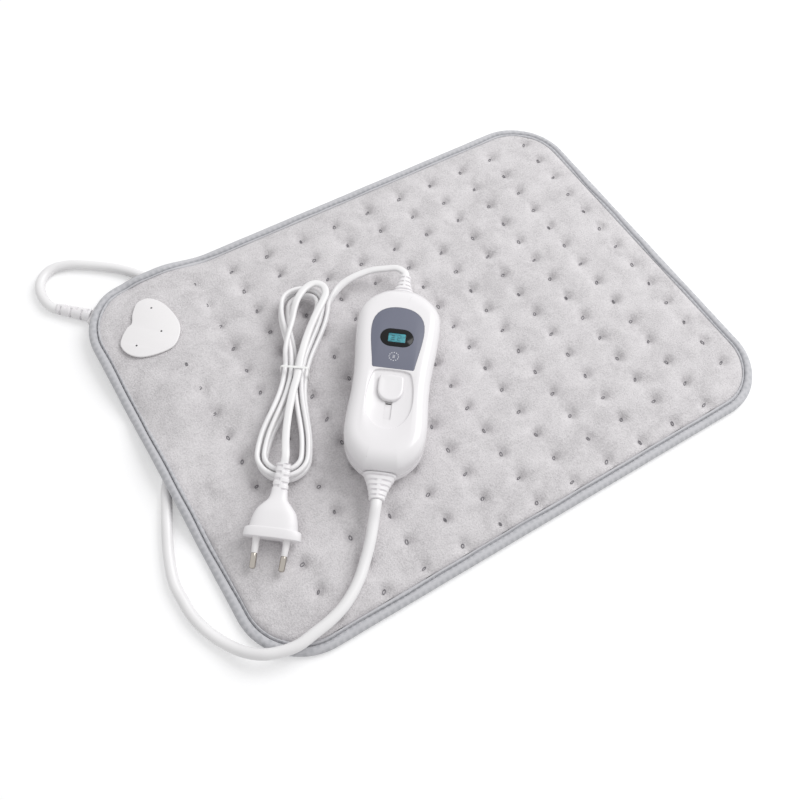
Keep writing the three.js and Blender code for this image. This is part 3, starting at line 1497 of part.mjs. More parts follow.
// Mains lead: from the controller's slim relief round to the hank's outer leg.
const mainsCordSides = 8;
const leadStep = 6;
const tailStep = 8;
const mainsExit = headLength + seatGap + slimReliefLength + seatGap;
const hankStart = hankToPad(hankCentres[0].clone().setX(hankCentres[0].x + seatGap));
const hankStartRun = hankToPad(hankCentres[0].clone().setX(hankCentres[0].x + mainsCordHeight));
const leadRoute = [
  [11, 57.5, 22.2],
  [4, 62, 21],
  [-4, 66, 20],
  [-13, 68, 19],
  [-22, 68.5, 18],
  [-30.5, 67.2, 16.6],
  [-38, 63.6, 15.4],
];
const leadPath = new LaidPath([
  controllerPoint(mainsExit, 0, partingHeight),
  controllerPoint(mainsExit + mainsCordWidth, 0, partingHeight),
  ...leadRoute.map(vector),
  hankStartRun,
  hankStart,
]);
const leadTube = cordAlong(leadPath, mainsCordWidth, mainsCordHeight, mainsCordSides, leadStep);
add('mains_cord_lead', leadTube, whiteVinyl);

// Mains tail: over the hank's far end, through the tie and down its middle to the plug; hank coordinates.
const tailStart = hankCentres[hankCentres.length - 1];
const tailRoute = [
  [13, 8.3, 22.4],
  [20, 8.4, 24.6],
  [27, 6.8, 25.3],
  [36, 5.2, 25.4],
  [47, 5.2, 25.4],
  [57, 3.6, 25.4],
  [65.5, -0.2, 25.4],
  [70, -6, 25.4],
  [68.5, -12, 25.4],
  [62.5, -14.5, 25.4],
  [55, -13, 25.3],
  [45, -9.8, 25.1],
  [27.2, -5.6, 24.8],
  [10, -3.2, crossingLevel],
  [-2.3, -2.6, crossingLevel],
  [-22.2, -0.4, crossingLevel],
  [-41.4, 0.2, 24.8],
  [-55, -0.6, 26],
];
const tailPath = new LaidPath([
  hankToPad(tailStart.clone().setX(tailStart.x + seatGap)),
  hankToPad(tailStart.clone().setX(tailStart.x + mainsCordHeight)),
  ...tailRoute.map((point) => hankToPad(vector(point))),
  plugPoint(-plugLength - seatGap - mainsCordHeight, 0, 0),
  plugPoint(-plugLength - seatGap, 0, 0),
], 0.03, 0.1);
const tailTube = cordAlong(tailPath, mainsCordWidth, mainsCordHeight, mainsCordSides, tailStep);
add('mains_cord_tail', tailTube, whiteVinyl);

const cordLengths = [padCordPath, leadPath, tailPath].map((path) => path.getLength().toFixed(0));
console.log(`pad cord, lead and tail lengths: ${cordLengths.join(', ')} mm`);

export default part;
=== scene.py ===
"""Electric heating pad: quilted plush pad, slide controller, pad cord, hank of mains cord and two-pin plug.

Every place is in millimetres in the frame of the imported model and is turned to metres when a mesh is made.
"""

from __future__ import annotations

import json
import logging
import math
from dataclasses import dataclass, field
from enum import Enum
from functools import cached_property
from typing import Any, Iterable, Sequence

import bpy
import numpy as np
from mathutils import Matrix, Vector, noise
from mathutils.geometry import tessellate_polygon

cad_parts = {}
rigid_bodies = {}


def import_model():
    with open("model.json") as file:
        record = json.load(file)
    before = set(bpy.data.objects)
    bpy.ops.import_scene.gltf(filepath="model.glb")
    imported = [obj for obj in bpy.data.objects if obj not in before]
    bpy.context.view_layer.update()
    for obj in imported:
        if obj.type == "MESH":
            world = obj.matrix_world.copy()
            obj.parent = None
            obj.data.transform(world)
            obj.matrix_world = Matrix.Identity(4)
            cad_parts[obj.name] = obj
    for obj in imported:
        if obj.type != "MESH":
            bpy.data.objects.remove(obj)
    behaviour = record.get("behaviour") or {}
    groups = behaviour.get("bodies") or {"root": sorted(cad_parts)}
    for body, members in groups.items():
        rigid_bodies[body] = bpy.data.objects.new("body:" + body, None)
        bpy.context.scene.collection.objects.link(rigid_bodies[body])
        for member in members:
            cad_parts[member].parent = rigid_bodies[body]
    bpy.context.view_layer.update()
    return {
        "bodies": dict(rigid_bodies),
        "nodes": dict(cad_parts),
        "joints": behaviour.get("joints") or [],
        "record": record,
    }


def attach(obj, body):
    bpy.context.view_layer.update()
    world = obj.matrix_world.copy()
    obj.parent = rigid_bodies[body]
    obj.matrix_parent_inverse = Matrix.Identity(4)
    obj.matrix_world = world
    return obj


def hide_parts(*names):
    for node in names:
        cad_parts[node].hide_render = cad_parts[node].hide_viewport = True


MM = 0.001
PAD_BODY = "pad_and_controller"
SLIDER_BODY = "slider"
UP = Vector((0.0, 0.0, 1.0))
Point = tuple[float, float, float]
Point2 = tuple[float, float]
Ring = list[Vector]
Grid = np.ndarray
LOG = logging.getLogger("heating_pad")


# Numbers and paths


def ease(share: Any) -> Any:
    """Returns the smooth rise from 0 to 1 that belongs to a share, for one number or for a whole grid."""
    return share * share * (3.0 - 2.0 * share)


def smoothstep(low: float, high: float, value: float) -> float:
    """Returns 0 below low, 1 above high and a smooth step between."""
    return ease(min(1.0, max(0.0, (value - low) / (high - low))))


def pulse(value: float, rise: Point2, fall: Point2) -> float:
    """Returns a smooth step up from 0 to 1 over one stretch and back down over another."""
    return smoothstep(*rise, value) * (1 - smoothstep(*fall, value))


def mix(first: float, second: float, share: float) -> float:
    """Returns the value at a share of the way from first to second."""
    return first + (second - first) * share


def centripetal(points: Sequence[Sequence[float]], per_span: int, closed: bool = False) -> list[Vector]:
    """Threads a centripetal Catmull-Rom curve through points.

    Args:
        points: The points that the curve passes, in two or three dimensions.
        per_span: How many samples each span gets.
        closed: Whether the curve runs back to its start.

    Returns:
        The samples, with the last point of an open curve.
    """
    knots = [Vector((*p, 0.0)) if len(p) == 2 else Vector(p) for p in points]
    count = len(knots)
    spans = count if closed else count - 1
    samples = []
    for i in range(spans):
        start, end = knots[i], knots[(i + 1) % count]
        before = knots[i - 1] if closed or i > 0 else start * 2 - end
        after = knots[(i + 2) % count] if closed or i + 2 < count else end * 2 - start
        gap_0 = max(1e-4, (start - before).length ** 0.5)
        gap_1 = max(1e-4, (end - start).length ** 0.5)
        gap_2 = max(1e-4, (after - end).length ** 0.5)
        slope_0 = ((start - before) / gap_0 - (end - before) / (gap_0 + gap_1) + (end - start) / gap_1) * gap_1
        slope_1 = ((end - start) / gap_1 - (after - start) / (gap_1 + gap_2) + (after - end) / gap_2) * gap_1
        for k in range(per_span):
            t = k / per_span
            samples.append(
                start * (2 * t**3 - 3 * t**2 + 1)
                + slope_0 * (t**3 - 2 * t**2 + t)
                + end * (-2 * t**3 + 3 * t**2)
                + slope_1 * (t**3 - t**2)
            )
    if not closed:
        samples.append(knots[-1].copy())
    return samples


def evenly(points: Sequence[Vector], step: float) -> list[Vector]:
    """Spaces points evenly along a run of points.

    Args:
        points: The run's points.
        step: How far apart the new points stand at most.

    Returns:
        The new points, with both ends of the run.
    """
    places = np.array([tuple(p) for p in points])
    runs = np.concatenate([[0.0], np.cumsum(np.linalg.norm(np.diff(places, axis=0), axis=1))])
    count = max(2, math.ceil(runs[-1] / step) + 1)
    wanted = np.linspace(0.0, runs[-1], count)
    columns = [np.interp(wanted, runs, places[:, axis]) for axis in range(3)]
    return [Vector(row) for row in zip(*columns)]


def run_length(points: Sequence[Vector]) -> float:
    """Returns the length of a run of points."""
    return sum((b - a).length for a, b in zip(points, points[1:]))


# Meshes


@dataclass
class Build:
    """Points and faces of one piece while it is made, in millimetres."""

    points: list[Vector] = field(default_factory=list)
    faces: list[tuple[int, ...]] = field(default_factory=list)

    def ring(self, ring: Iterable[Vector]) -> list[int]:
        """Adds points and returns their numbers."""
        first = len(self.points)
        self.points.extend(ring)
        return list(range(first, len(self.points)))

    def sheet(self, x: Grid, y: Grid, z: Grid) -> list[list[int]]:
        """Adds the places of a grid and returns their numbers in its rows and columns."""
        numbers = self.ring([Vector(p) for p in zip(x.ravel(), y.ravel(), z.ravel())])
        return np.array(numbers).reshape(x.shape).tolist()

    def band(self, lower: Sequence[int], upper: Sequence[int]) -> None:
        """Joins two rings of equally many points with quads."""
        for k, here in enumerate(lower):
            after = (k + 1) % len(lower)
            self.faces.append((here, lower[after], upper[after], upper[k]))

    def tube(self, rings: Iterable[Ring], flip: bool = False) -> list[list[int]]:
        """Adds rings of equally many points and joins each with the next.

        Args:
            rings: The rings, in order.
            flip: Whether the faces are turned over.

        Returns:
            The numbers of each ring's points.
        """
        numbered = [self.ring(ring) for ring in rings]
        for lower, upper in zip(numbered, numbered[1:]):
            self.band(*((upper, lower) if flip else (lower, upper)))
        return numbered

    def fan(self, ring: Sequence[int], flip: bool = False) -> None:
        """Closes a ring with triangles round its middle point.

        Args:
            ring: The numbers of the ring's points.
            flip: Whether the faces are turned over.
        """
        middle = sum((self.points[i] for i in ring), Vector()) / len(ring)
        centre = self.ring([middle])[0]
        for k, here in enumerate(ring):
            after = ring[(k + 1) % len(ring)]
            self.faces.append((centre, after, here) if flip else (centre, here, after))

    def plate(self, outer: Sequence[int], holes: Sequence[Sequence[int]] = (), flip: bool = False) -> None:
        """Closes a flat outline that may have holes.

        Args:
            outer: The numbers of the outline's points.
            holes: The numbers of each hole's points.
            flip: Whether the face looks down.
        """
        loops = [list(outer), *[list(hole) for hole in holes]]
        numbers = [i for loop in loops for i in loop]
        for corners in tessellate_polygon([[self.points[i] for i in loop] for loop in loops]):
            triangle = [numbers[c] for c in corners]
            a, b, c = (self.points[i] for i in triangle)
            looks_up = (b - a).cross(c - a).z > 0
            self.faces.append(tuple(reversed(triangle)) if looks_up == flip else tuple(triangle))

    def loft(self, rings: Sequence[Ring], joined: bool = False, caps: bool = True) -> list[list[int]]:
        """Skins rings of equally many points.

        Args:
            rings: The rings, in order along the body.
            joined: Whether the last ring joins the first.
            caps: Whether fans close the two ends.

        Returns:
            The numbers of each ring's points.
        """
        numbered = self.tube(rings)
        if joined:
            self.band(numbered[-1], numbered[0])
        elif caps:
            self.fan(numbered[0], flip=True)
            self.fan(numbered[-1])
        return numbered

    def add(self, other: "Build", placed: Matrix | None = None) -> None:
        """Adds a copy of another build, which a matrix in millimetres may move."""
        first = len(self.points)
        self.points.extend(placed @ point if placed else point.copy() for point in other.points)
        self.faces.extend(tuple(i + first for i in face) for face in other.faces)

    def mesh(self, name: str, move: Matrix | None = None) -> bpy.types.Mesh:
        """Makes a mesh in metres, whose points a matrix in millimetres may move first."""
        made = bpy.data.meshes.new(name)
        made.from_pydata([(move @ p if move else p) * MM for p in self.points], [], self.faces)
        return made

    def piece(
        self,
        name: str,
        finish: bpy.types.Material,
        slot: str,
        placed: Matrix | None = None,
        replaces: Sequence[str] = (),
        body: str = PAD_BODY,
        crease: float = 40.0,
    ) -> bpy.types.Object:
        """Makes the piece's object, which rides on its body.

        Args:
            name: The piece's name.
            finish: Its material.
            slot: The record's material slot, which is not used.
            placed: The matrix from its own frame to the model's, in millimetres.
            replaces: The solids that it stands for.
            body: The body that it moves with.
            crease: The angle in degrees above which an edge stays sharp.

        Returns:
            The new object.
        """
        mesh = self.mesh(name, placed)
        mesh.validate()
        mesh.polygons.foreach_set("use_smooth", [True] * len(mesh.polygons))
        mesh.set_sharp_from_angle(angle=math.radians(crease))
        mesh.materials.append(finish)
        obj = linked(name, mesh)
        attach(obj, body)
        if replaces:
            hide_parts(*replaces)
        LOG.info("%s: %d faces", name, len(mesh.polygons))
        return obj


def standing(at: Sequence[float], turn: float) -> Matrix:
    """Returns the frame at a place that is turned about the upright, in radians."""
    return Matrix.Translation(at) @ Matrix.Rotation(turn, 4, "Z")


def linked(name: str, data: bpy.types.ID) -> bpy.types.Object:
    """Makes an object and puts it into the scene."""
    obj = bpy.data.objects.new(name, data)
    bpy.context.scene.collection.objects.link(obj)
    return obj


def circle(x: float, y: float, z: float, radius: float, sides: int) -> Ring:
    """Returns a level ring of points, counterclockwise from above."""
    turns = [math.tau * k / sides for k in range(sides)]
    return [Vector((x + radius * math.cos(t), y + radius * math.sin(t), z)) for t in turns]


def skinned(rings: Sequence[Ring], joined: bool = False) -> Build:
    """Returns a body skinned over rings, which is capped or joined end to end."""
    build = Build()
    build.loft(rings, joined)
    return build


def upright(x: float, y: float, profile: Sequence[Point2], sides: int = 24) -> Build:
    """Returns a turned body on an upright axis from (level, radius) pairs, lowest first."""
    return skinned([circle(x, y, level, radius, sides) for level, radius in profile])


def lying(profile: Sequence[Point2], sides: int = 24) -> Build:
    """Returns a turned body along X from (x, radius) pairs, in rising x."""
    turns = [math.tau * k / sides for k in range(sides)]
    return skinned([
        [Vector((x, radius * math.cos(t), radius * math.sin(t))) for t in turns] for x, radius in profile
    ])


def oval(half_width: float, half_height: float, sides: int, squareness: float = 1.0) -> list[Point2]:
    """Draws an oval round zero.

    Args:
        half_width: Half its width.
        half_height: Half its height.
        sides: How many points it has.
        squareness: The power of its sine and cosine: 1 for an ellipse, less for a boxier outline.

    Returns:
        Its (across, up) points.
    """
    points = []
    for k in range(sides):
        turn = math.tau * (k + 0.5) / sides
        cosine, sine = math.cos(turn), math.sin(turn)
        across = math.copysign(abs(cosine) ** squareness, cosine)
        height = math.copysign(abs(sine) ** squareness, sine)
        points.append((half_width * across, half_height * height))
    return points
    return points


def offset_outline(outline: Sequence[Vector], inset: float) -> Ring:
    """Draws a counterclockwise outline inward.

    Args:
        outline: The outline.
        inset: How far it is drawn in, or out where this is negative.

    Returns:
        As many points, each moved along the middle between its two edges.
    """
    count = len(outline)
    moved = []
    for i, point in enumerate(outline):
        travel_in = (point - outline[i - 1]).normalized()
        travel_out = (outline[(i + 1) % count] - point).normalized()
        inward = Vector((-(travel_in.y + travel_out.y), travel_in.x + travel_out.x, 0.0)).normalized()
        # At a sharp corner the full mitre would shoot far out, so it is kept to 1 / 0.6 of the inset.
        spread = max(0.6, -inward.x * travel_in.y + inward.y * travel_in.x)
        moved.append(point + inward * (inset / spread))
    return moved


def at_level(outline: Sequence[Vector], z: float) -> Ring:
    """Returns an outline at a level."""
    return [Vector((p.x, p.y, z)) for p in outline]


def drawn_in(outline: Sequence[Vector], inset: float, z: float) -> Ring:
    """Returns an outline drawn inward by an inset, at a level."""
    return at_level(offset_outline(outline, inset), z)


def rounded_edge(outline: Sequence[Vector], radius: float, top: float, steps: int, drop: float = 0.0) -> list[Ring]:
    """Rounds an upper edge.

    Args:
        outline: The counterclockwise outline of the side.
        radius: How far the rounding draws in.
        top: The level of the flat.
        steps: How many rings the rounding has.
        drop: How far the rounding reaches down, or 0 for its radius.

    Returns:
        The rings, from the side up to the flat.
    """
    rings = []
    for k in range(steps + 1):
        turn = math.pi / 2 * k / steps
        inset = radius * (1 - math.cos(turn))
        rings.append(at_level(offset_outline(outline, inset), top - (drop or radius) * (1 - math.sin(turn))))
    return rings


def slab(outline: Sequence[Vector], foot: float, top: float, edge: float, holes: Sequence[Ring] = ()) -> Build:
    """Makes a flat plate with rounded edges and plain holes.

    Args:
        outline: The counterclockwise outline.
        foot: The level of its underside.
        top: The level of its upper side.
        edge: The radius of its outer edges.
        holes: Counterclockwise outlines of its holes.

    Returns:
        The plate.
    """
    build = Build()
    upper = rounded_edge(outline, edge, top, 3)
    lower = [at_level(ring, foot + top - ring[0].z) for ring in reversed(upper)]
    rings = build.loft([*lower, *upper], caps=False)
    low_holes = [build.ring(at_level(hole, foot)) for hole in holes]
    high_holes = [build.ring(at_level(hole, top)) for hole in holes]
    for low, high in zip(low_holes, high_holes):
        build.band(high, low)
    build.plate(rings[0], low_holes, flip=True)
    build.plate(rings[-1], high_holes)
    return build


def cubic_outline(start: Point2, curves: Sequence[Sequence[Point2]], steps: int) -> Ring:
    """Draws a closed outline from cubic curves and their mirror image across the X axis.

    Args:
        start: Where the half outline starts, at its upper end.
        curves: For each curve its two control points and its end.
        steps: How many points each curve gets.

    Returns:
        The outline, counterclockwise.
    """
    half = [Vector((*start, 0.0))]
    for first, second, end in curves:
        a, b, c, d = half[-1].copy(), Vector((*first, 0.0)), Vector((*second, 0.0)), Vector((*end, 0.0))
        for k in range(1, steps + 1):
            t = k / steps
            half.append(a * (1 - t) ** 3 + b * 3 * t * (1 - t) ** 2 + c * 3 * t**2 * (1 - t) + d * t**3)
    mirrored = [Vector((p.x, -p.y, 0.0)) for p in half if p.y > 1e-6]
    return half + mirrored[::-1]


def stadium(x: float, y: float, length: float, width: float, radius: float, steps: int = 8) -> Ring:
    """Draws a rounded rectangle round a place.

    Args:
        x: The middle along X.
        y: The middle along Y.
        length: The size along X.
        width: The size along Y.
        radius: The corners' radius.
        steps: How many spans each corner gets.

    Returns:
        The outline, counterclockwise.
    """
    points = []
    for corner, (sign_x, sign_y) in enumerate([(1, 1), (-1, 1), (-1, -1), (1, -1)]):
        for k in range(steps + 1):
            turn = math.pi / 2 * (corner + k / steps)
            points.append(
                Vector((
                    x + sign_x * (length / 2 - radius) + radius * math.cos(turn),
                    y + sign_y * (width / 2 - radius) + radius * math.sin(turn),
                    0.0,
                ))
            )
    return points


# Finishes


def linear(colour: str) -> tuple[float, float, float, float]:
    """Turns an sRGB hex colour to linear values with full alpha."""
    channels = [int(colour[i : i + 2], 16) / 255 for i in (1, 3, 5)]
    red, green, blue = (c / 12.92 if c <= 0.04045 else ((c + 0.055) / 1.055) ** 2.4 for c in channels)
    return red, green, blue, 1.0


class Nodes:
    """The node tree of a material or of the sky, with one way to add a node."""

    def __init__(self, owner: bpy.types.Material | bpy.types.World) -> None:
        """Starts with the nodes that a new owner has."""
        owner.use_nodes = True
        self.owner = owner
        self.tree = owner.node_tree
        self.shader = self.tree.nodes.get("Principled BSDF")

    def node(self, kind: str, links: dict[str, Any] | None = None, **settings: Any) -> bpy.types.Node:
        """Adds a node with its settings and its inputs.

        Args:
            kind: The node's type name.
            links: For each input its value, or the output socket that feeds it.
            **settings: Properties of the node itself.

        Returns:
            The new node.
        """
        made = self.tree.nodes.new(kind)
        for key, value in settings.items():
            setattr(made, key, value)
        self.fill(made, links or {})
        return made

    @cached_property
    def place(self) -> bpy.types.NodeSocket:
        """The piece's own coordinates, which fix a texture to it."""
        return self.node("ShaderNodeTexCoord").outputs["Object"]

    def fill(self, made: bpy.types.Node, links: dict[str, Any]) -> None:
        """Sets or links inputs of a node.

        Args:
            made: The node.
            links: For each input, by name or number, its value or the output socket that feeds it.
        """
        for key, value in links.items():
            socket = made.inputs[int(key)] if key.isdigit() else made.inputs[key]
            if isinstance(value, bpy.types.NodeSocket):
                self.tree.links.new(value, socket)
            else:
                socket.default_value = value

    def grain(self, size_mm: float, detail: float, **inputs: Any) -> bpy.types.NodeSocket:
        """Adds a noise texture with a grain of about a size in millimetres and returns its factor."""
        links = {"Vector": self.place, "Scale": per_metre(size_mm), "Detail": detail} | inputs
        return self.node("ShaderNodeTexNoise", links).outputs["Fac"]

    def arithmetic(self, operation: str, *values: Any) -> bpy.types.NodeSocket:
        """Adds a math node over values or sockets and returns its result."""
        links = {str(number): value for number, value in enumerate(values)}
        return self.node("ShaderNodeMath", links, operation=operation).outputs["Value"]

    def looked_at(self) -> bpy.types.NodeSocket:
        """Returns a factor that is 1 for rays that look: from the camera, in gloss and through glass."""
        rays = self.node("ShaderNodeLightPath").outputs
        direct = self.arithmetic("MAXIMUM", rays["Is Camera Ray"], rays["Is Glossy Ray"])
        return self.arithmetic("MAXIMUM", direct, rays["Is Transmission Ray"])

    def varied(self, factor: bpy.types.NodeSocket, middle: float, *shares: float) -> bpy.types.NodeSocket:
        """Returns a value that varies with a factor, between two shares of itself."""
        links = {"Value": factor, "To Min": middle * shares[0], "To Max": middle * shares[1]}
        return self.node("ShaderNodeMapRange", links).outputs["Result"]

    def bump(self, height: bpy.types.NodeSocket, strength: float, depth_mm: float) -> bpy.types.NodeSocket:
        """Adds a bump of a depth in millimetres and returns its normal."""
        links = {"Height": height, "Strength": strength, "Distance": depth_mm * MM}
        return self.node("ShaderNodeBump", links).outputs["Normal"]

    def ramp(self, factor: bpy.types.NodeSocket, stops: Sequence[tuple[float, str]]) -> bpy.types.NodeSocket:
        """Adds a colour ramp.

        Args:
            factor: What it is driven by.
            stops: For each stop its place and its hex colour.

        Returns:
            The ramp's colour.
        """
        made = self.node("ShaderNodeValToRGB", {"Fac": factor})
        elements = made.color_ramp.elements
        while len(elements) < len(stops):
            elements.new(0.5)
        for element, (place, colour) in zip(elements, stops):
            element.position = place
            element.color = linear(colour)
        return made.outputs["Color"]


def per_metre(size_mm: float) -> float:
    """Returns the texture scale at which one repeat is about a size in millimetres."""
    return 1.0 / (size_mm * MM)


@dataclass(frozen=True)
class Finish:
    """What every finish has: its colour and the shader's own typical values."""

    name: str
    colour: str
    roughness: float
    ior: float = 1.5
    metallic: float = 0.0

    def base(self) -> Nodes:
        """Returns a material with the uniform values on the shader itself."""
        nodes = Nodes(bpy.data.materials.new(self.name))
        values = {"Base Color": linear(self.colour), "Roughness": self.roughness, "Metallic": self.metallic}
        nodes.fill(nodes.shader, values if self.metallic else values | {"IOR": self.ior})
        return nodes

    def make(self) -> bpy.types.Material:
        """Returns the finished material."""
        return self.base().owner


@dataclass(frozen=True)
class Pile(Finish):
    """Cut-pile polyester cloth: short upright fibres that lean in soft patches and catch light at their tips."""

    shade: str = "#b9b6ba"
    lit: str = "#dddbde"
    pile_mm: float = 1.1
    patch_mm: float = 16.0
    stroke_mm: float = 4.5
    stroke_turn: float = 0.6
    stroke_stretch: float = 2.6
    depth_mm: float = 0.8
    sheen: float = 0.35

    def make(self) -> bpy.types.Material:
        """Returns the pile: leaning patches, strokes and clumps painted in lit and shaded tones, clumps also in
        bump.
        """
        nodes = self.base()
        # Fibres are about 0.1 mm, too fine to show, so the clumps that they form are drawn.
        clumps = nodes.grain(self.pile_mm, 3.0, Roughness=0.6)
        patches = nodes.grain(self.patch_mm, 2.0, Distortion=0.6)
        brushed = nodes.node("ShaderNodeMapping", {
            "Vector": nodes.place, "Rotation": (0.0, 0.0, self.stroke_turn),
            "Scale": (1.0, self.stroke_stretch, 1.0),
        })
        strokes = nodes.grain(self.stroke_mm, 2.0, Vector=brushed.outputs["Vector"])
        total: Any = 0.0
        for factor, share in ((patches, 0.36), (strokes, 0.14), (clumps, 0.5)):
            total = nodes.arithmetic("MULTIPLY_ADD", factor, share, total)
        # The ramp paints the nap's light and shade: where patches, strokes and clumps lean, the pile turns lighter
        # or darker.
        nodes.fill(nodes.shader, {
            "Base Color": nodes.ramp(total, [(0.38, self.shade), (0.5, self.colour), (0.62, self.lit)]),
            "Normal": nodes.bump(clumps, 0.85, self.depth_mm),
            "Sheen Weight": self.sheen, "Sheen Roughness": 0.45, "Sheen Tint": linear("#ffffff"),
        })
        return nodes.owner


# Blender's wave texture multiplies its places by this, so a scale divided by it is in waves a metre.
WAVE_RATE = 20.0


@dataclass(frozen=True)
class WovenTape(Finish):
    """Woven polyester tape: crossing threads that show as a fine grid with a soft lustre."""

    shade: str = "#8f8c91"
    thread_mm: float = 0.9
    fade_mm: float = 9.0
    depth_mm: float = 0.18

    def make(self) -> bpy.types.Material:
        """Returns the weave, from two crossing thread waves and a slight fade."""
        nodes = self.base()
        # Threads are about 0.3 mm in the real tape; at 0.7 mm they still show in the render.
        scale = per_metre(self.thread_mm) / WAVE_RATE
        waves = [
            nodes.node(
                "ShaderNodeTexWave", {"Vector": nodes.place, "Scale": scale, "Distortion": 0.5, "Detail": 1.0},
                bands_direction=axis,
            ).outputs["Fac"]
            for axis in ("X", "Y")
        ]
        weave = nodes.arithmetic("MAXIMUM", *waves)
        total = nodes.arithmetic("ADD", weave, nodes.grain(self.fade_mm, 3.0))
        half = nodes.arithmetic("MULTIPLY", total, 0.5)
        nodes.fill(nodes.shader, {
            "Base Color": nodes.ramp(half, [(0.3, self.shade), (0.75, self.colour)]),
            "Normal": nodes.bump(weave, 0.5, self.depth_mm), "Sheen Weight": 0.2, "Sheen Roughness": 0.5,
        })
        return nodes.owner


@dataclass(frozen=True)
class Moulded(Finish):
    """Injection-moulded plastic: an even colour, with a faint waviness in the gloss where it shrank."""

    texture_mm: float = 5.0
    depth_mm: float = 0.02
    coat: float = 0.0

    def make(self) -> bpy.types.Material:
        """Returns the plastic, whose roughness and surface vary very little."""
        nodes = self.base()
        waviness = nodes.grain(self.texture_mm, 2.0)
        nodes.fill(nodes.shader, {
            "Roughness": nodes.varied(waviness, self.roughness, 0.85, 1.15),
            "Normal": nodes.bump(waviness, 0.3, self.depth_mm), "Coat Weight": self.coat,
        })
        return nodes.owner


@dataclass(frozen=True)
class Extruded(Finish):
    """Plasticised PVC jacket, extruded over the cores: satin, with faint drag lines and slight yellowing."""

    shade: str = "#e6e5e1"
    drag_mm: float = 1.4
    tone_mm: float = 30.0
    depth_mm: float = 0.03

    def make(self) -> bpy.types.Material:
        """Returns the jacket, with drag marks in its gloss and a slow change of tone."""
        nodes = self.base()
        tone, drag = nodes.grain(self.tone_mm, 1.0), nodes.grain(self.drag_mm, 2.0)
        nodes.fill(nodes.shader, {
            "Base Color": nodes.ramp(tone, [(0.35, self.shade), (0.6, self.colour)]),
            "Roughness": nodes.varied(drag, self.roughness, 0.85, 1.2),
            "Normal": nodes.bump(drag, 0.2, self.depth_mm),
        })
        return nodes.owner


@dataclass(frozen=True)
class Metal(Finish):
    """Plated or turned metal: a mirror-like skin with fine scratches."""

    metallic: float = 1.0
    grit_mm: float = 0.4
    depth_mm: float = 0.02

    def make(self) -> bpy.types.Material:
        """Returns the metal, scratched in its gloss."""
        nodes = self.base()
        scratches = nodes.grain(self.grit_mm, 3.0)
        nodes.fill(nodes.shader, {
            "Roughness": nodes.varied(scratches, self.roughness, 0.7, 1.5),
            "Normal": nodes.bump(scratches, 0.1, self.depth_mm),
        })
        return nodes.owner


@dataclass(frozen=True)
class Laminate(Finish):
    """Glass-epoxy laminate under green solder mask: copper tracks show as a slightly lighter pattern."""

    track: str = "#3f7d52"
    track_mm: float = 3.0

    def make(self) -> bpy.types.Material:
        """Returns the board, with rounded cells of copper under the mask."""
        nodes = self.base()
        links = {"Vector": nodes.place, "Scale": per_metre(self.track_mm)}
        cells = nodes.node("ShaderNodeTexVoronoi", links, distance="CHEBYCHEV").outputs["Distance"]
        colour = nodes.ramp(cells, [(0.42, self.track), (0.5, self.colour)])
        nodes.fill(nodes.shader, {"Base Color": colour, "Coat Weight": 0.3})
        return nodes.owner


@dataclass(frozen=True)
class Display(Finish):
    """Lit liquid-crystal panel behind tinted acrylic: an even glow with a faint mottle."""

    shade: str = "#2f7480"
    mottle_mm: float = 2.5
    glow: float = 0.35

    def make(self) -> bpy.types.Material:
        """Returns the lit panel, with a faint mottle from its diffuser."""
        nodes = self.base()
        colour = nodes.ramp(nodes.grain(self.mottle_mm, 1.0), [(0.35, self.shade), (0.65, self.colour)])
        nodes.fill(nodes.shader, {"Base Color": colour, "Emission Color": colour, "Emission Strength": self.glow})
        return nodes.owner


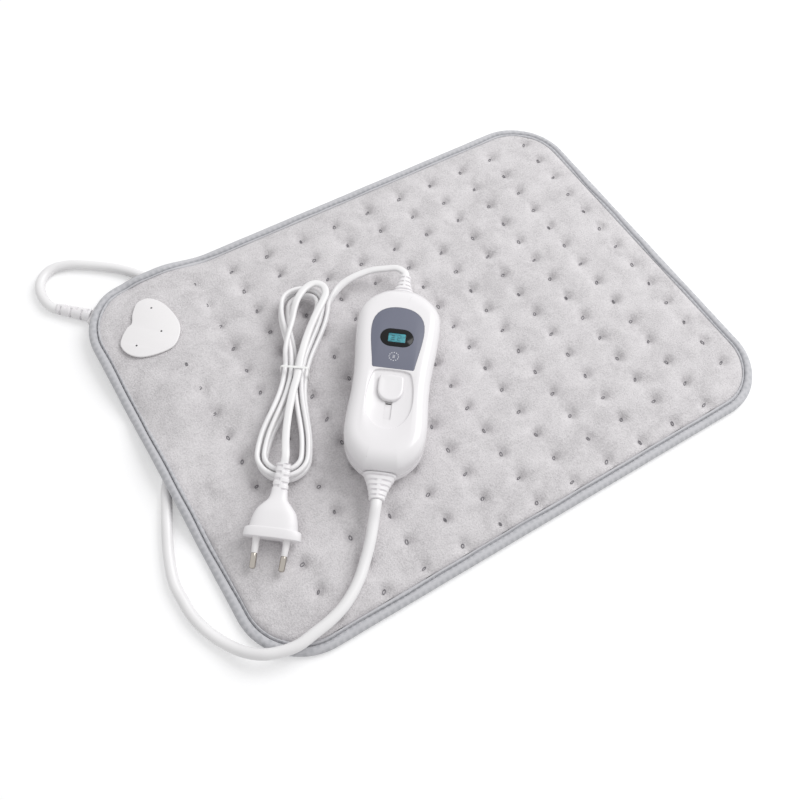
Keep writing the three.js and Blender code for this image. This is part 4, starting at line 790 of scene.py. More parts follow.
class Finishes:
    """Every material of the heating pad, each made once."""

    def __init__(self) -> None:
        """Makes the materials."""
        self.plush = Pile("plush_cut_pile_polyester", "#d5d2d4", 0.95, shade="#c4c1c3", lit="#e1dee0").make()
        self.back = Pile(
            "brushed_back_cloth", "#c3c1c4", 0.95, shade="#b3b0b4", lit="#d0ced1", pile_mm=0.8, depth_mm=0.25,
        ).make()
        self.fleece = Pile(
            "needled_nonwoven_fleece", "#d8d6d2", 0.95, shade="#c9c7c2", lit="#e4e2de", pile_mm=1.6, sheen=0.1,
        ).make()
        self.binding = WovenTape(
            "woven_binding_tape", "#c6c6ca", 0.8, shade="#b7b8bc", thread_mm=0.7, depth_mm=0.1,
        ).make()
        # The seam thread's dark grey is partly its own colour and partly painted shade for the seam groove.
        self.thread = WovenTape("spun_polyester_thread_and_groove_shade", "#8b888c", 0.7, shade="#6f6c71", thread_mm=0.5).make()
        # The tack thread's dark grey is partly painted shade: it stands for the shadow inside each pinched tuft
        # hole.
        self.tack = WovenTape("tack_thread_painted_hole_shade", "#858287", 0.8, shade="#68656b", thread_mm=0.5).make()
        self.abs = Moulded("white_abs_gloss_moulded", "#edebed", 0.24, ior=1.53, coat=0.1).make()
        self.plate = Moulded("white_abs_satin_moulded", "#f1eff0", 0.42, ior=1.53).make()
        self.soft = Moulded("white_pvc_moulded_on", "#f1eff1", 0.38, ior=1.53, depth_mm=0.04).make()
        self.cord = Extruded("white_pvc_cord_jacket", "#f4f3f4", 0.36, shade="#eeedee", ior=1.53).make()
        self.tie = Moulded("white_polyethylene_tie", "#f2f2f1", 0.45, ior=1.51).make()
        self.film = Moulded("screen_printed_film", "#6a6d7d", 0.42, ior=1.5, texture_mm=2.0, depth_mm=0.01).make()
        self.print = Moulded("white_screen_print", "#e4e5ea", 0.5, texture_mm=1.0).make()
        self.window = Moulded("smoked_acrylic", "#060608", 0.1, ior=1.35).make()
        self.display = Display("lit_display_panel", "#4a98a3", 0.2, glow=0.12).make()
        self.digit = Moulded("display_segments", "#173f49", 0.3, texture_mm=1.0).make()
        self.nickel = Metal("nickel_plated_brass", "#b3ada6", 0.07).make()
        self.zinc = Metal("zinc_plated_steel", "#c2c3c6", 0.3, grit_mm=0.8).make()
        self.board = Laminate("glass_epoxy_laminate", "#2b6340", 0.35, ior=1.55).make()
        self.black = Moulded("black_nylon_moulded", "#2b2b2d", 0.5, texture_mm=1.5, depth_mm=0.03).make()
        self.glass = Moulded("glass_fuse_tube", "#dfe4e2", 0.08, ior=1.52).make()
        self.silicone = Extruded("silicone_wire_jacket", "#ddd6c6", 0.5, shade="#d2cab8", ior=1.43).make()


# The pad


@dataclass(frozen=True)
class Frames:
    """Where each sub-assembly stands in the model, in millimetres and degrees."""

    heart_centre: Point2 = (-159.7, 101.6)
    connector_turn: float = 135.0
    controller_at: Point = (-39.1, -17.9, 10.8)
    controller_turn: float = 52.2
    hank_at: Point = (-92.75, 18.56, 0.0)
    hank_turn: float = 55.04
    plug_at: Point = (-160.5, -76.8, 17.6)
    plug_turn: float = -128.2
    plug_pitch: float = 11.7

    def connector(self) -> Matrix:
        """Returns the connector's frame: X toward the pad's corner."""
        return standing((*self.heart_centre, 0), math.radians(self.connector_turn))

    def controller(self) -> Matrix:
        """Returns the controller's frame: X toward its mains end."""
        return standing(self.controller_at, math.radians(self.controller_turn))

    def hank(self) -> Matrix:
        """Returns the hank's frame: X along it, the waist at zero."""
        return standing(self.hank_at, math.radians(self.hank_turn))

    def plug(self) -> Matrix:
        """Returns the plug's frame: X toward its pins, the face at zero."""
        pitch = Matrix.Rotation(math.radians(self.plug_pitch), 4, "Y")
        return standing(self.plug_at, math.radians(self.plug_turn)) @ pitch


FRAMES = Frames()
# The pad cord's way under the pad, from one edge to the next, past the connector.
HIDDEN_ROUTE = [(-205, -19), (-200, -8), (-165, 42), (-134, 92), (-131, 122), (-143, 150), (-154, 165)]


@dataclass(frozen=True)
class PadForm:
    """The pad's sizes and the heights of its layers over the connector and the cord that lie under it."""

    length: float = 400.0
    width: float = 300.0
    corner: float = 44.0
    binding: float = 7.0
    crown: float = 10.5
    rim: float = 6.4
    draw_in: float = 22.0
    seat_gap: float = 0.3
    fold_height: float = 7.5
    heart_plateau: float = 27.0
    neck_plateau: float = 9.0
    corner_reach: float = 26.0
    neck_end: float = 53.9
    neck_offset: float = -4.5
    cord_plateau: float = 5.0
    cord_reach: float = 19.0
    rim_reach_share: float = 1.9
    plush_bottom: float = 3.9
    least_plush: float = 1.1
    plate_top: float = 14.6
    plate_thickness: float = 1.5
    first_row: float = 125.0
    row_pitch: float = 20.1
    rows: int = 14
    last_column: float = 175.5
    outer_pitch: float = 34.0
    pitch: float = 28.7
    columns: int = 12
    tuft_clearance: float = 3.0
    plate_clearance: float = 27.0

    @property
    def plush_inset(self) -> float:
        """How far the plush's own outline lies inside the pad's."""
        return self.binding + self.seat_gap

    def folds(self) -> list[tuple[Vector, Vector, float, float]]:
        """Returns each stretch that lifts the pad: its ends, how wide its flat top is and its slope's reach."""
        corner = FRAMES.connector()
        centre = Vector(FRAMES.heart_centre)
        neck = [(corner @ Vector((x, self.neck_offset, 0))).xy for x in (0.0, self.neck_end)]
        folds = [(centre, centre, self.heart_plateau, self.corner_reach)]
        folds.append((neck[0], neck[1], self.neck_plateau, self.corner_reach))
        for start, end in zip(HIDDEN_ROUTE, HIDDEN_ROUTE[1:]):
            folds.append((Vector(start), Vector(end), self.cord_plateau, self.cord_reach))
        return folds

    def lift(self, x: Grid, y: Grid) -> Grid:
        """Works out how far the pad is lifted over what lies under it.

        Args:
            x: Places along the pad.
            y: Places across the pad.

        Returns:
            The lift at each place, with longer slopes at the pad's rim, which is stiffer.
        """
        height, wide = np.zeros_like(x), np.zeros_like(x)
        for start, end, plateau, reach in self.folds():
            along = np.array(end - start)
            squared = float(along @ along)
            share = (x - start.x) * along[0] + (y - start.y) * along[1]
            share = np.clip(share / squared, 0, 1) if squared else 0.0
            away = np.hypot(x - start.x - share * along[0], y - start.y - share * along[1])
            drop = np.clip((away - plateau) / reach, 0, 1)
            height = np.maximum(height, self.fold_height * (1 - (0.75 * drop + 0.25 * ease(drop))))
            spread = np.clip((away - plateau) / (self.rim_reach_share * reach), 0, 1)
            wide = np.maximum(wide, self.fold_height * (1 - ease(spread)))
        near_rim = 1 - np.clip((self.inside(x, y) - 6) / 10, 0, 1)
        return height + (np.maximum(wide, height) - height) * ease(near_rim)

    def grid(self, inset: float, step: float) -> tuple[Grid, Grid]:
        """Fills the pad's rounded outline with places in rows and columns.

        Args:
            inset: How far the outline is drawn in.
            step: About how far the places stand apart.

        Returns:
            The places along and across the pad.
        """
        half_x, half_y = self.length / 2 - inset, self.width / 2 - inset
        radius = self.corner - inset
        across = np.linspace(-half_x, half_x, round(2 * half_x / step) + 1)
        along = np.linspace(-half_y, half_y, round(2 * half_y / step) + 1)
        x, y = np.meshgrid(across, along)
        over_x = np.abs(x) - (half_x - radius)
        over_y = np.abs(y) - (half_y - radius)
        corner = (over_x > 0) & (over_y > 0)
        reach = np.maximum(over_x, over_y)
        with np.errstate(divide="ignore", invalid="ignore"):
            early, late = math.pi / 4 * over_y / over_x, math.pi / 2 - math.pi / 4 * over_x / over_y
        turn = np.where(over_x >= over_y, early, late)
        x = np.where(corner, np.sign(x) * (half_x - radius + reach * np.cos(turn)), x)
        y = np.where(corner, np.sign(y) * (half_y - radius + reach * np.sin(turn)), y)
        return x, y

    def inside(self, x: Grid, y: Grid) -> Grid:
        """Returns how far each place lies inside the plush's own outline, and 0 outside it."""
        over_x = np.abs(x) - (self.length / 2 - self.corner)
        over_y = np.abs(y) - (self.width / 2 - self.corner)
        outside = np.hypot(np.maximum(over_x, 0), np.maximum(over_y, 0)) + np.minimum(np.maximum(over_x, over_y), 0)
        return np.maximum(0, self.corner - self.plush_inset - outside)

    def surface(self, x: Grid, y: Grid) -> Grid:
        """Returns the level that the top of the plush reaches between its tufts."""
        lift = self.lift(x, y)
        draw = 1 - np.minimum(self.inside(x, y) / self.draw_in, 1)
        crowned = self.crown - (self.crown - self.rim) * draw**2 + 0.5 * lift
        return np.maximum(crowned, lift + self.plush_bottom + self.least_plush)

    def tufts(self) -> list[Point2]:
        """Returns where the tufts are, without those under the heart plate and one that the binding covers."""
        columns = [self.last_column, self.last_column - self.outer_pitch]
        while len(columns) < self.columns - 1:
            columns.append(columns[-1] - self.pitch)
        columns.append(columns[-1] - self.outer_pitch)
        rows = [self.first_row - i * self.row_pitch for i in range(self.rows)]
        centre = Vector(FRAMES.heart_centre)
        return [
            (x, y) for x in columns for y in rows
            if (Vector((x, y)) - centre).length > self.plate_clearance
            and self.inside(np.array([x]), np.array([y]))[0] > self.tuft_clearance
        ]


# The heart plate's corners as shares of its length and width, clockwise from the notch between its lobes.
HEART_SHARES = [
    (0.378, 0), (0.442, -0.167), (0.45, -0.378), (0.306, -0.491), (0.083, -0.494),
    (-0.217, -0.38), (-0.461, -0.199), (-0.55, -0.032), (-0.536, 0.199), (-0.332, 0.378),
    (-0.035, 0.506), (0.212, 0.496), (0.391, 0.391), (0.432, 0.25), (0.418, 0.085),
]
PIN_SHARES = [(0.154, -0.34), (-0.21, 0.009), (0.108, 0.34)]
# The binding's cross section as (inset, level) pairs, from its foot round the outer roll to the inner ridge.
BINDING_SECTION = [
    (6.9, 0.5), (5.0, 0.12), (2.6, 0.15), (1.0, 0.7), (0.15, 1.9), (0.0, 3.2), (0.5, 4.5), (1.6, 5.5),
    (2.9, 5.9), (4.1, 5.8), (4.95, 5.3), (5.3, 4.5), (5.65, 3.1), (6.0, 4.5), (6.2, 5.3), (6.65, 5.75),
    (7.2, 5.6), (7.65, 5.1), (7.75, 4.5), (7.15, 4.2), (7.15, 2.2),
]


@dataclass(frozen=True)
class Swelling:
    """How the cloth simulation blows the plush up between its tufts."""

    step: float = 3.3
    pressure: float = 4.0
    frames: int = 20
    cap: float = 3.2
    tension: float = 12.0
    compression: float = 6.0
    bending: float = 0.4
    quality: int = 5
    skirt: float = 3.0
    held_round_plate: float = 2.0


@dataclass(frozen=True)
class Quilting:
    """How the plush lies slack before it swells, and how each stitched tuft and the plate press it down."""

    slack: float = 1.9
    tuft_slack: float = 1.1
    tuft_slack_reach: float = 6.5
    rim_ease: float = 12.0
    rim_drop: float = 1.9
    rim_drop_reach: float = 1.5
    hole_depth: float = 4.6
    hole_radius: float = 2.2
    bowl_depth: float = 1.9
    bowl_radius: float = 4.8
    gather_start: float = 1.6
    gather_reach: float = 5.0
    crease_depth: float = 0.4
    crease_width: float = 1.7
    crease_length: float = 8.0
    crease_heading: Point2 = (0.85, 0.53)
    pull: float = 0.55
    pull_squared: float = 30.0
    plate_sink: float = 0.35
    plate_slope: float = 3.2
    plate_lip: float = 0.9


@dataclass
class Pad:
    """The soft pad: plush top, back cover, carrier, bound edge with its seam, tacks and heart plate."""

    finishes: Finishes
    form: PadForm = PadForm()
    sim: Swelling = Swelling()
    quilt: Quilting = Quilting()
    carrier_inset: float = 14.0
    seam_inset: float = 5.65
    seam_level: float = 3.45
    seam_pitch: float = 1.7
    seam_stray: float = 1.25
    seam_stray_length: float = 31.0
    tack_sides: int = 14
    heart_length: float = 37.0
    heart_width: float = 46.8

    def make(self) -> None:
        """Makes every piece of the pad."""
        self.plush_top()
        back = self.back_cover()
        carrier = self.carrier()
        binding = self.edge_binding()
        seam = self.edge_seam()
        self.tacks()
        self.heart_plate()

    def heart(self) -> Ring:
        """Returns the heart's outline in the connector's frame, counterclockwise."""
        corners = [Vector((a * self.heart_length, b * self.heart_width, 0.0)) for a, b in HEART_SHARES]
        return centripetal(corners, 6, closed=True)[::-1]

    def beside_heart(self, x: Grid, y: Grid) -> Grid:
        """Works out how far each place lies outside the heart plate.

        Args:
            x: Places along the pad.
            y: Places across the pad.

        Returns:
            The distances, negative inside the plate and 99 where it is far away.
        """
        to_local = FRAMES.connector().inverted()
        outline = [p.xy for p in self.heart()]
        centre = Vector(FRAMES.heart_centre)
        away = np.full(x.shape, 99.0)
        near = np.argwhere(np.hypot(x - centre.x, y - centre.y) < 38)
        for row, column in near:
            place = (to_local @ Vector((x[row, column], y[row, column], 0))).xy
            inside = False
            least = 99.0
            for a, b in zip(outline, [*outline[1:], outline[0]]):
                edge = b - a
                share = min(1.0, max(0.0, (place - a).dot(edge) / edge.length_squared))
                least = min(least, (place - a - edge * share).length)
                if (a.y > place.y) != (b.y > place.y) and place.x < a.x + edge.x * (place.y - a.y) / edge.y:
                    inside = not inside
            away[row, column] = -least if inside else least
        return away

    def swell(self, x: Grid, y: Grid, z: Grid) -> Grid:
        """Blows the plush up between its tufts by a cloth simulation.

        Args:
            x: Places along the pad, in rows and columns.
            y: Places across the pad.
            z: The slack surface's levels.

        Returns:
            The swollen surface's levels.
        """
        sim = self.sim
        rows, columns = x.shape
        build = Build()
        numbers = build.sheet(x, y, z)
        for j in range(rows - 1):
            for i in range(columns - 1):
                build.faces.append((numbers[j][i], numbers[j][i + 1], numbers[j + 1][i + 1], numbers[j + 1][i]))
        rim = self.rim_of(numbers)
        low = build.ring([build.points[i] - UP * sim.skirt for i in rim])
        build.band(low, rim)
        build.fan(low, flip=True)
        mesh = build.mesh("swelling")
        obj = linked("swelling", mesh)
        held = set(range(rows * columns, len(build.points))) | set(rim)
        flat_x, flat_y = x.ravel(), y.ravel()
        for tuft_x, tuft_y in self.form.tufts():
            held.add(int(np.argmin((flat_x - tuft_x) ** 2 + (flat_y - tuft_y) ** 2)))
        held |= {int(i) for i in np.nonzero(self.beside_heart(x, y).ravel() < sim.held_round_plate)[0]}
        group = obj.vertex_groups.new(name="held")
        group.add(sorted(held), 1.0, "REPLACE")
        cloth = obj.modifiers.new("cloth", "CLOTH")
        settings = cloth.settings
        settings.effector_weights.gravity = 0.0
        settings.use_pressure = True
        settings.uniform_pressure_force = sim.pressure
        settings.vertex_group_mass = group.name
        settings.tension_stiffness = sim.tension
        settings.compression_stiffness = sim.compression
        settings.bending_stiffness = sim.bending
        settings.quality = sim.quality
        cloth.point_cache.frame_end = sim.frames
        for frame in range(1, sim.frames + 1):
            bpy.context.scene.frame_set(frame)
        swollen = obj.evaluated_get(bpy.context.evaluated_depsgraph_get())
        levels = np.array([v.co.z / MM for v in swollen.data.vertices][: rows * columns]).reshape(rows, columns)
        bpy.context.scene.frame_set(1)
        bpy.data.objects.remove(obj)
        bpy.data.meshes.remove(mesh)
        LOG.info("plush swelled by %.2f mm at most", float(np.max(levels - z)))
        return z + np.clip(levels - z, -sim.cap, sim.cap)

    def rim_of(self, numbers: list[list[int]]) -> list[int]:
        """Returns the points round the edge of a sheet, in order."""
        far, near = [row[-1] for row in numbers[1:]], [row[0] for row in numbers[-2:0:-1]]
        return [*numbers[0], *far, *numbers[-1][-2::-1], *near]

    def finer(self, values: Grid) -> Grid:
        """Fills a grid in smoothly to twice the places.

        Args:
            values: The grid.

        Returns:
            The finer grid, with every second place as it was.
        """
        def along_rows(v: Grid) -> Grid:
            """Doubles the columns with a cubic fill."""
            padded = np.concatenate([2 * v[:, :1] - v[:, 1:2], v, 2 * v[:, -1:] - v[:, -2:-1]], axis=1)
            between = (9 * (padded[:, 1:-2] + padded[:, 2:-1]) - padded[:, :-3] - padded[:, 3:]) / 16
            out = np.empty((v.shape[0], 2 * v.shape[1] - 1))
            out[:, 0::2] = v
            out[:, 1::2] = between
            return out
        return along_rows(along_rows(values).T).T

    def gathered(self, x: Grid, y: Grid) -> tuple[Grid, Grid]:
        """Draws places in toward the tufts, as the cloth is, so that the dimples get more of them.

        Args:
            x: Places along the pad.
            y: Places across the pad.

        Returns:
            The new places.
        """
        new_x, new_y = x.copy(), y.copy()
        for tuft_x, tuft_y in self.form.tufts():
            dx, dy = x - tuft_x, y - tuft_y
            pull = self.quilt.pull * np.exp(-(dx * dx + dy * dy) / self.quilt.pull_squared)
            new_x -= dx * pull
            new_y -= dy * pull
        return new_x, new_y

    def dimples(self, x: Grid, y: Grid) -> Grid:
        """Works out how the stitched tufts press the plush down: a tight hole, a bowl and short gathers.

        Args:
            x: Places along the pad.
            y: Places across the pad.

        Returns:
            How far each place is pressed down. Each tuft differs a little by its number.
        """
        quilt = self.quilt
        pressed = np.zeros_like(x)
        for number, (tuft_x, tuft_y) in enumerate(self.form.tufts()):
            dx, dy = x - tuft_x, y - tuft_y
            away = np.hypot(dx, dy)
            turn = np.arctan2(dy, dx)
            deeper = 1 + 0.2 * math.sin(number * 2.4)
            pressed += deeper * quilt.hole_depth * np.exp(-((away / quilt.hole_radius) ** 2))
            pressed += quilt.bowl_depth * np.exp(-((away / quilt.bowl_radius) ** 2))
            gathers = 0.2 * np.cos(3 * turn + 1.7 * number) + 0.14 * np.cos(5 * turn + 0.9 * number)
            fade_in = 1 - np.exp(-((away / quilt.gather_start) ** 2))
            pressed += gathers * np.exp(-((away / quilt.gather_reach) ** 2)) * fade_in
            cosine, sine = quilt.crease_heading
            along, across = dx * cosine + dy * sine, dy * cosine - dx * sine
            pressed += quilt.crease_depth * np.exp(
                -((across / quilt.crease_width) ** 2) - ((along / quilt.crease_length) ** 2))
        return pressed

    def slack(self, x: Grid, y: Grid) -> Grid:
        """Returns the levels of the plush before it swells, lowest at its tufts."""
        quilt = self.quilt
        draw = np.minimum(self.form.inside(x, y) / quilt.rim_ease, 1)
        levels = self.form.surface(x, y) - quilt.slack * draw
        for tuft_x, tuft_y in self.form.tufts():
            away = np.hypot(x - tuft_x, y - tuft_y)
            levels -= quilt.tuft_slack * np.exp(-((away / quilt.tuft_slack_reach) ** 2)) * draw
        return levels

    def creases(self, x: Grid, y: Grid) -> Grid:
        """Returns how far broad and fine creases raise the plush, with nothing at its rim."""
        values = [
            0.34 * noise.noise(Vector((a / 13, b / 24, 0.0))) + 0.16 * noise.noise(Vector((a / 6, b / 8, 5.0)))
            for a, b in zip(x.ravel(), y.ravel())
        ]
        return np.array(values).reshape(x.shape) * np.minimum(self.form.inside(x, y) / self.quilt.rim_ease, 1)

    def plush_top(self) -> None:
        """Makes the quilted plush: swollen between its tufts, creased, pressed in round the plate and the tacks."""
        form, quilt = self.form, self.quilt
        x, y = form.grid(form.plush_inset, self.sim.step)
        levels = self.slack(x, y)
        levels = self.swell(x, y, levels)
        x, y, levels = self.finer(x), self.finer(y), self.finer(levels)
        x, y = self.gathered(x, y)
        levels = levels + self.creases(x, y)
        # The surface that the CAD has is a soft ceiling: 0.5 mm below it the levels begin to bend over.
        ceiling = form.surface(x, y)
        over = levels - (ceiling - 0.5)
        levels = np.where(over > 0, ceiling - 0.5 + 0.5 * np.tanh(over / 0.5), levels)
        rim = np.exp(-((form.inside(x, y) / quilt.rim_drop_reach) ** 2))
        levels = levels - quilt.rim_drop * rim - self.dimples(x, y)
        beside = self.beside_heart(x, y)
        floor = form.plate_top - form.plate_thickness - quilt.plate_sink
        rise = ease(np.clip((beside + 0.2) / quilt.plate_slope, 0, 1))
        lip = floor + (levels - floor) * rise + quilt.plate_lip * (beside > 0) * rise
        levels = np.where(beside < 3.0, np.minimum(levels, lip), levels)
        levels = np.where(beside <= -0.2, np.minimum(levels, floor), levels)
        bottom = form.lift(x, y) + form.plush_bottom + 0.05
        levels = np.maximum(levels, bottom + 0.4)
        layer = self.layer(x, y, levels, bottom)
        top = layer.piece("plush_top", self.finishes.plush, "plush", replaces=["plush_top_cover"], crease=60.0)

    def layer(self, x: Grid, y: Grid, top: Grid, bottom: Grid) -> Build:
        """Closes the room between two surfaces over the same places.

        Args:
            x: Places along the pad, in rows and columns.
            y: Places across the pad.
            top: The upper surface's levels.
            bottom: The lower surface's levels.

        Returns:
            The layer, whose first half of points is the upper surface.
        """
        build = Build()
        rows, columns = x.shape
        high, low = build.sheet(x, y, top), build.sheet(x, y, bottom)
        for j in range(rows - 1):
            for i in range(columns - 1):
                build.faces.append((high[j][i], high[j][i + 1], high[j + 1][i + 1], high[j + 1][i]))
                build.faces.append((low[j][i], low[j + 1][i], low[j + 1][i + 1], low[j][i + 1]))
        build.band(self.rim_of(low), self.rim_of(high))
        return build

    def back_cover(self) -> bpy.types.Object:
        """Makes the brushed back cover, drawn up a little where the tacks hold it."""
        x, y = self.form.grid(self.form.plush_inset, 4.0)
        base = self.form.lift(x, y)
        drawn = np.zeros_like(base)
        for tuft_x, tuft_y in self.form.tufts():
            drawn += 0.45 * np.exp(-(((x - tuft_x) ** 2 + (y - tuft_y) ** 2) / 30.0))
        inner = np.minimum(self.form.inside(x, y) / 10, 1)
        bottom = base + 0.02 + drawn * inner
        top = np.maximum(base + 1.0, bottom + 0.6)
        return self.layer(x, y, top, bottom).piece(
            "back_cover", self.finishes.back, "back_cloth", replaces=["plush_back_cover"], crease=60.0)

    def carrier(self) -> bpy.types.Object:
        """Makes the fleece sheet that carries the heating wire."""
        x, y = self.form.grid(self.carrier_inset, 4.5)
        base = self.form.lift(x, y)
        return self.layer(x, y, base + 2.0, base + 1.3).piece(
            "wire_carrier", self.finishes.fleece, "back_cloth", replaces=["heater_carrier"], crease=60.0)

    def rim_path(self, inset: float, step: float) -> list[tuple[Vector, Vector]]:
        """Walks round the pad's outline.

        Args:
            inset: How far inside the outline the way lies.
            step: About how far the places stand apart.

        Returns:
            The places, each with its outward direction.
        """
        corner_x, corner_y = self.form.length / 2 - self.form.corner, self.form.width / 2 - self.form.corner
        radius = self.form.corner - inset
        corners = [Vector((i * corner_x, j * corner_y, 0)) for i, j in ((1, 1), (-1, 1), (-1, -1), (1, -1))]
        places = []
        for number, centre in enumerate(corners):
            steps = max(6, round(radius * math.pi / 2 / step))
            for k in range(steps + 1):
                turn = math.pi / 2 * (number + k / steps)
                outward = Vector((math.cos(turn), math.sin(turn), 0))
                places.append((centre + outward * radius, outward))
            # Along the straight side the corner's last outward direction holds.
            start, stop = places[-1][0], corners[(number + 1) % 4] + outward * radius
            steps = round((stop - start).length / step)
            places.extend((start.lerp(stop, k / steps), outward) for k in range(1, steps))
        return places

    def rim_level(self, place: Vector) -> float:
        """Returns how far the pad is lifted at a place."""
        return float(self.form.lift(np.array([place.x]), np.array([place.y]))[0])

    def waver(self, place: Vector) -> float:
        """Returns how far the seam strays inward at a place on the outline, as a hand-fed one does."""
        length = self.seam_stray_length
        return self.seam_stray * noise.noise(Vector((place.x / length, place.y / length, 3.0)))

    def edge_binding(self) -> bpy.types.Object:
        """Makes the tape that wraps the edge: a full outer roll, the seam's groove and a narrow inner ridge."""
        rings = []
        run = 0.0
        places = self.rim_path(0.0, 2.5)
        for number, (place, outward) in enumerate(places):
            run += (place - places[number - 1][0]).length if number else 0.0
            wave = 0.22 * math.sin(run / 9.1) + 0.16 * math.sin(run / 4.3 + 1.7) + 0.1 * math.sin(run / 2.2)
            level = self.rim_level(place - outward * self.form.binding / 2)
            ring = []
            for inset, height in BINDING_SECTION:
                upper = smoothstep(2.0, 5.5, height)
                stray = self.waver(place) * smoothstep(3.0, 4.9, inset) * (1 - smoothstep(6.7, 7.7, inset)) * upper
                inward = inset + stray + (0.12 * wave if inset < 4 else 0.0)
                ring.append(place - outward * inward + UP * (level + height + 0.5 * wave * upper))
            rings.append(ring)
        tape = skinned(rings, joined=True)
        return tape.piece("binding_tape", self.finishes.binding, "binding", replaces=["edge_binding"], crease=180.0)

    def edge_seam(self) -> bpy.types.Object:
        """Makes the lockstitches that lie in the binding's groove."""
        build = Build()
        stitch = lying([(-1.15, 0.05), (-1.0, 0.2), (-0.5, 0.27), (0.5, 0.27), (1.0, 0.2), (1.15, 0.05)], sides=6)
        places = [
            place - outward * self.waver(place + outward * self.seam_inset)
            for place, outward in self.rim_path(self.seam_inset, self.seam_pitch)
        ]
        # Every second span has a stitch, and between them the thread dives into the tape.
        for start, stop in list(zip(places, places[1:]))[::2]:
            heading, middle = (stop - start).normalized(), (start + stop) / 2
            level = self.rim_level(middle) + self.seam_level
            build.add(stitch, standing((middle.x, middle.y, level), math.atan2(heading.y, heading.x)))
        # The stitches' dark colour also paints the shade in the binding's groove.
        return build.piece("edge_seam_stitches", self.finishes.thread, "binding")

    def tack(self, number: int) -> Build:
        """Makes one stitched loop round zero.

        Args:
            number: The tuft's number, by which each loop differs a little.

        Returns:
            The loop.
        """
        long, short = 1.4 + 0.2 * math.sin(number * 1.3), 0.68 + 0.16 * math.sin(number * 2.9)
        section = oval(0.34, 0.28, 6)
        rings = []
        for k in range(self.tack_sides):
            turn = math.tau * k / self.tack_sides
            outward = Vector((math.cos(turn), math.sin(turn), 0))
            rise = 0.16 * math.cos(2 * turn + number)
            centre = Vector((long * math.cos(turn), short * math.sin(turn), rise))
            rings.append([centre + outward * a + UP * b for a, b in section])
        return skinned(rings, joined=True)

    def tacks(self) -> None:
        """Makes the small stitched loop at the bottom of each tuft, on top and on the back."""
        top, back = Build(), Build()
        for number, (x, y) in enumerate(self.form.tufts()):
            loop = self.tack(number)
            turn = math.radians(52 + 40 * math.sin(number * 1.9))
            top.add(loop, standing((x, y, self.tuft_level(x, y)), turn))
            back.add(loop, standing((x, y, self.rim_level(Vector((x, y))) + 0.3), turn))
        # The loops' dark thread colour also paints the shade that falls in each tuft's hole.
        top.piece("tuft_tacks", self.finishes.tack, "plush")
        back.piece("back_tacks", self.finishes.tack, "back_cloth")

    @cached_property
    def plush_points(self) -> Grid:
        """The points of the made plush's upper side, in millimetres."""
        mesh = bpy.data.objects["plush_top"].data
        flat = np.empty(3 * len(mesh.vertices))
        mesh.vertices.foreach_get("co", flat)
        return flat.reshape(-1, 3)[: len(mesh.vertices) // 2] / MM

    def tuft_level(self, x: float, y: float) -> float:
        """Returns the level at which a tuft's loop lies, a little above the bottom of its hole."""
        points = self.plush_points
        nearest = np.argsort((points[:, 0] - x) ** 2 + (points[:, 1] - y) ** 2)[:4]
        return float(points[nearest, 2].min()) + 0.2

    def heart_plate(self) -> None:
        """Makes the heart-shaped clamp plate with its three small holes, and the pins that end below them."""
        form = self.form
        places = [(a * self.heart_length, b * self.heart_width) for a, b in PIN_SHARES]
        holes = [circle(x, y, 0.0, 0.75, 16) for x, y in places]
        foot, top = form.plate_top - form.plate_thickness, form.plate_top
        plate = slab(self.heart(), foot, top, 0.6, holes)
        corner = FRAMES.connector()
        plate.piece("heart_clamp_plate", self.finishes.plate, "white_plastic", corner, ["heart_plate"], crease=30.0)
        for number, (x, y) in enumerate(places, 1):
            profile = [(1.9, 1.5), (foot - 0.35, 1.5), (foot - 0.3, 0.6), (top - 0.7, 0.6), (top - 0.6, 0.4)]
            pin = upright(x, y, profile, sides=20)
            pin.piece(
                f"clamp_pin_shaft_{number}", self.finishes.black, "dark_plastic", corner, [f"clamp_pin_{number}"])


# The controller


# How far the case reaches from its middle toward each cord, and its half outline as cubic curves.
HEAD, TAIL = 66.0, 73.0
BODY_CURVES = [
    [(66.1, 3.4), (65.9, 6.4), (65.2, 9.2)],
    [(62.8, 18.2), (52.6, 28.0), (0.545 * HEAD, 28.0)],
    [(0.24 * HEAD, 28.0), (0.09 * HEAD, 25.2), (-0.19 * TAIL, 25.2)],
    [(-0.36 * TAIL, 25.2), (-0.44 * TAIL, 26.3), (-0.6 * TAIL, 26.3)],
    [(-0.8 * TAIL, 26.3), (-0.91 * TAIL, 20.8), (-72.3, 11.0)],
    [(-72.8, 8.0), (-73.0, 4.0), (-73.0, 0.0)],
]
LABEL_SHARES = [
    [(0, 0.55), (0.1, 1), (0.36, 1)], [(0.56, 1), (0.74, 0.87), (0.93, 0.8)],
    [(0.965, 0.785), (1, 0.785), (1, 0.72)], [(1, 0.5), (1, 0.2), (1, 0)],
]
RECESS_SHARES = [
    [(0, 0.55), (0.01, 0.76), (0.073, 0.83)], [(0.21, 0.96), (0.35, 1), (0.51, 1)], [(0.76, 1), (1, 0.6), (1, 0)],
]
KNOB_SHARES = [
    [(0, 0.5), (0.01, 0.82), (0.07, 0.93)], [(0.2, 1), (0.4, 1), (0.52, 1)], [(0.82, 1), (1, 0.56), (1, 0)],
]


def drop(upper: float, lower: float, half_width: float, shares: Sequence[Sequence[Point2]], steps: int) -> Ring:
    """Returns a mirrored outline between two ends along X, whose curves are shares of its length and half width."""
    curves = [[(mix(upper, lower, a), b * half_width) for a, b in curve] for curve in shares]
    return cubic_outline((upper, 0.0), curves, steps)


class Digit(Enum):
    """The dark bars of a seven-bar figure, each as its place along and across it and whether it lies across."""

    TWO = ((2.0, 0.0, True), (1.0, -1.0, False), (0.0, 0.0, True), (-1.0, 1.0, False), (-2.0, 0.0, True))


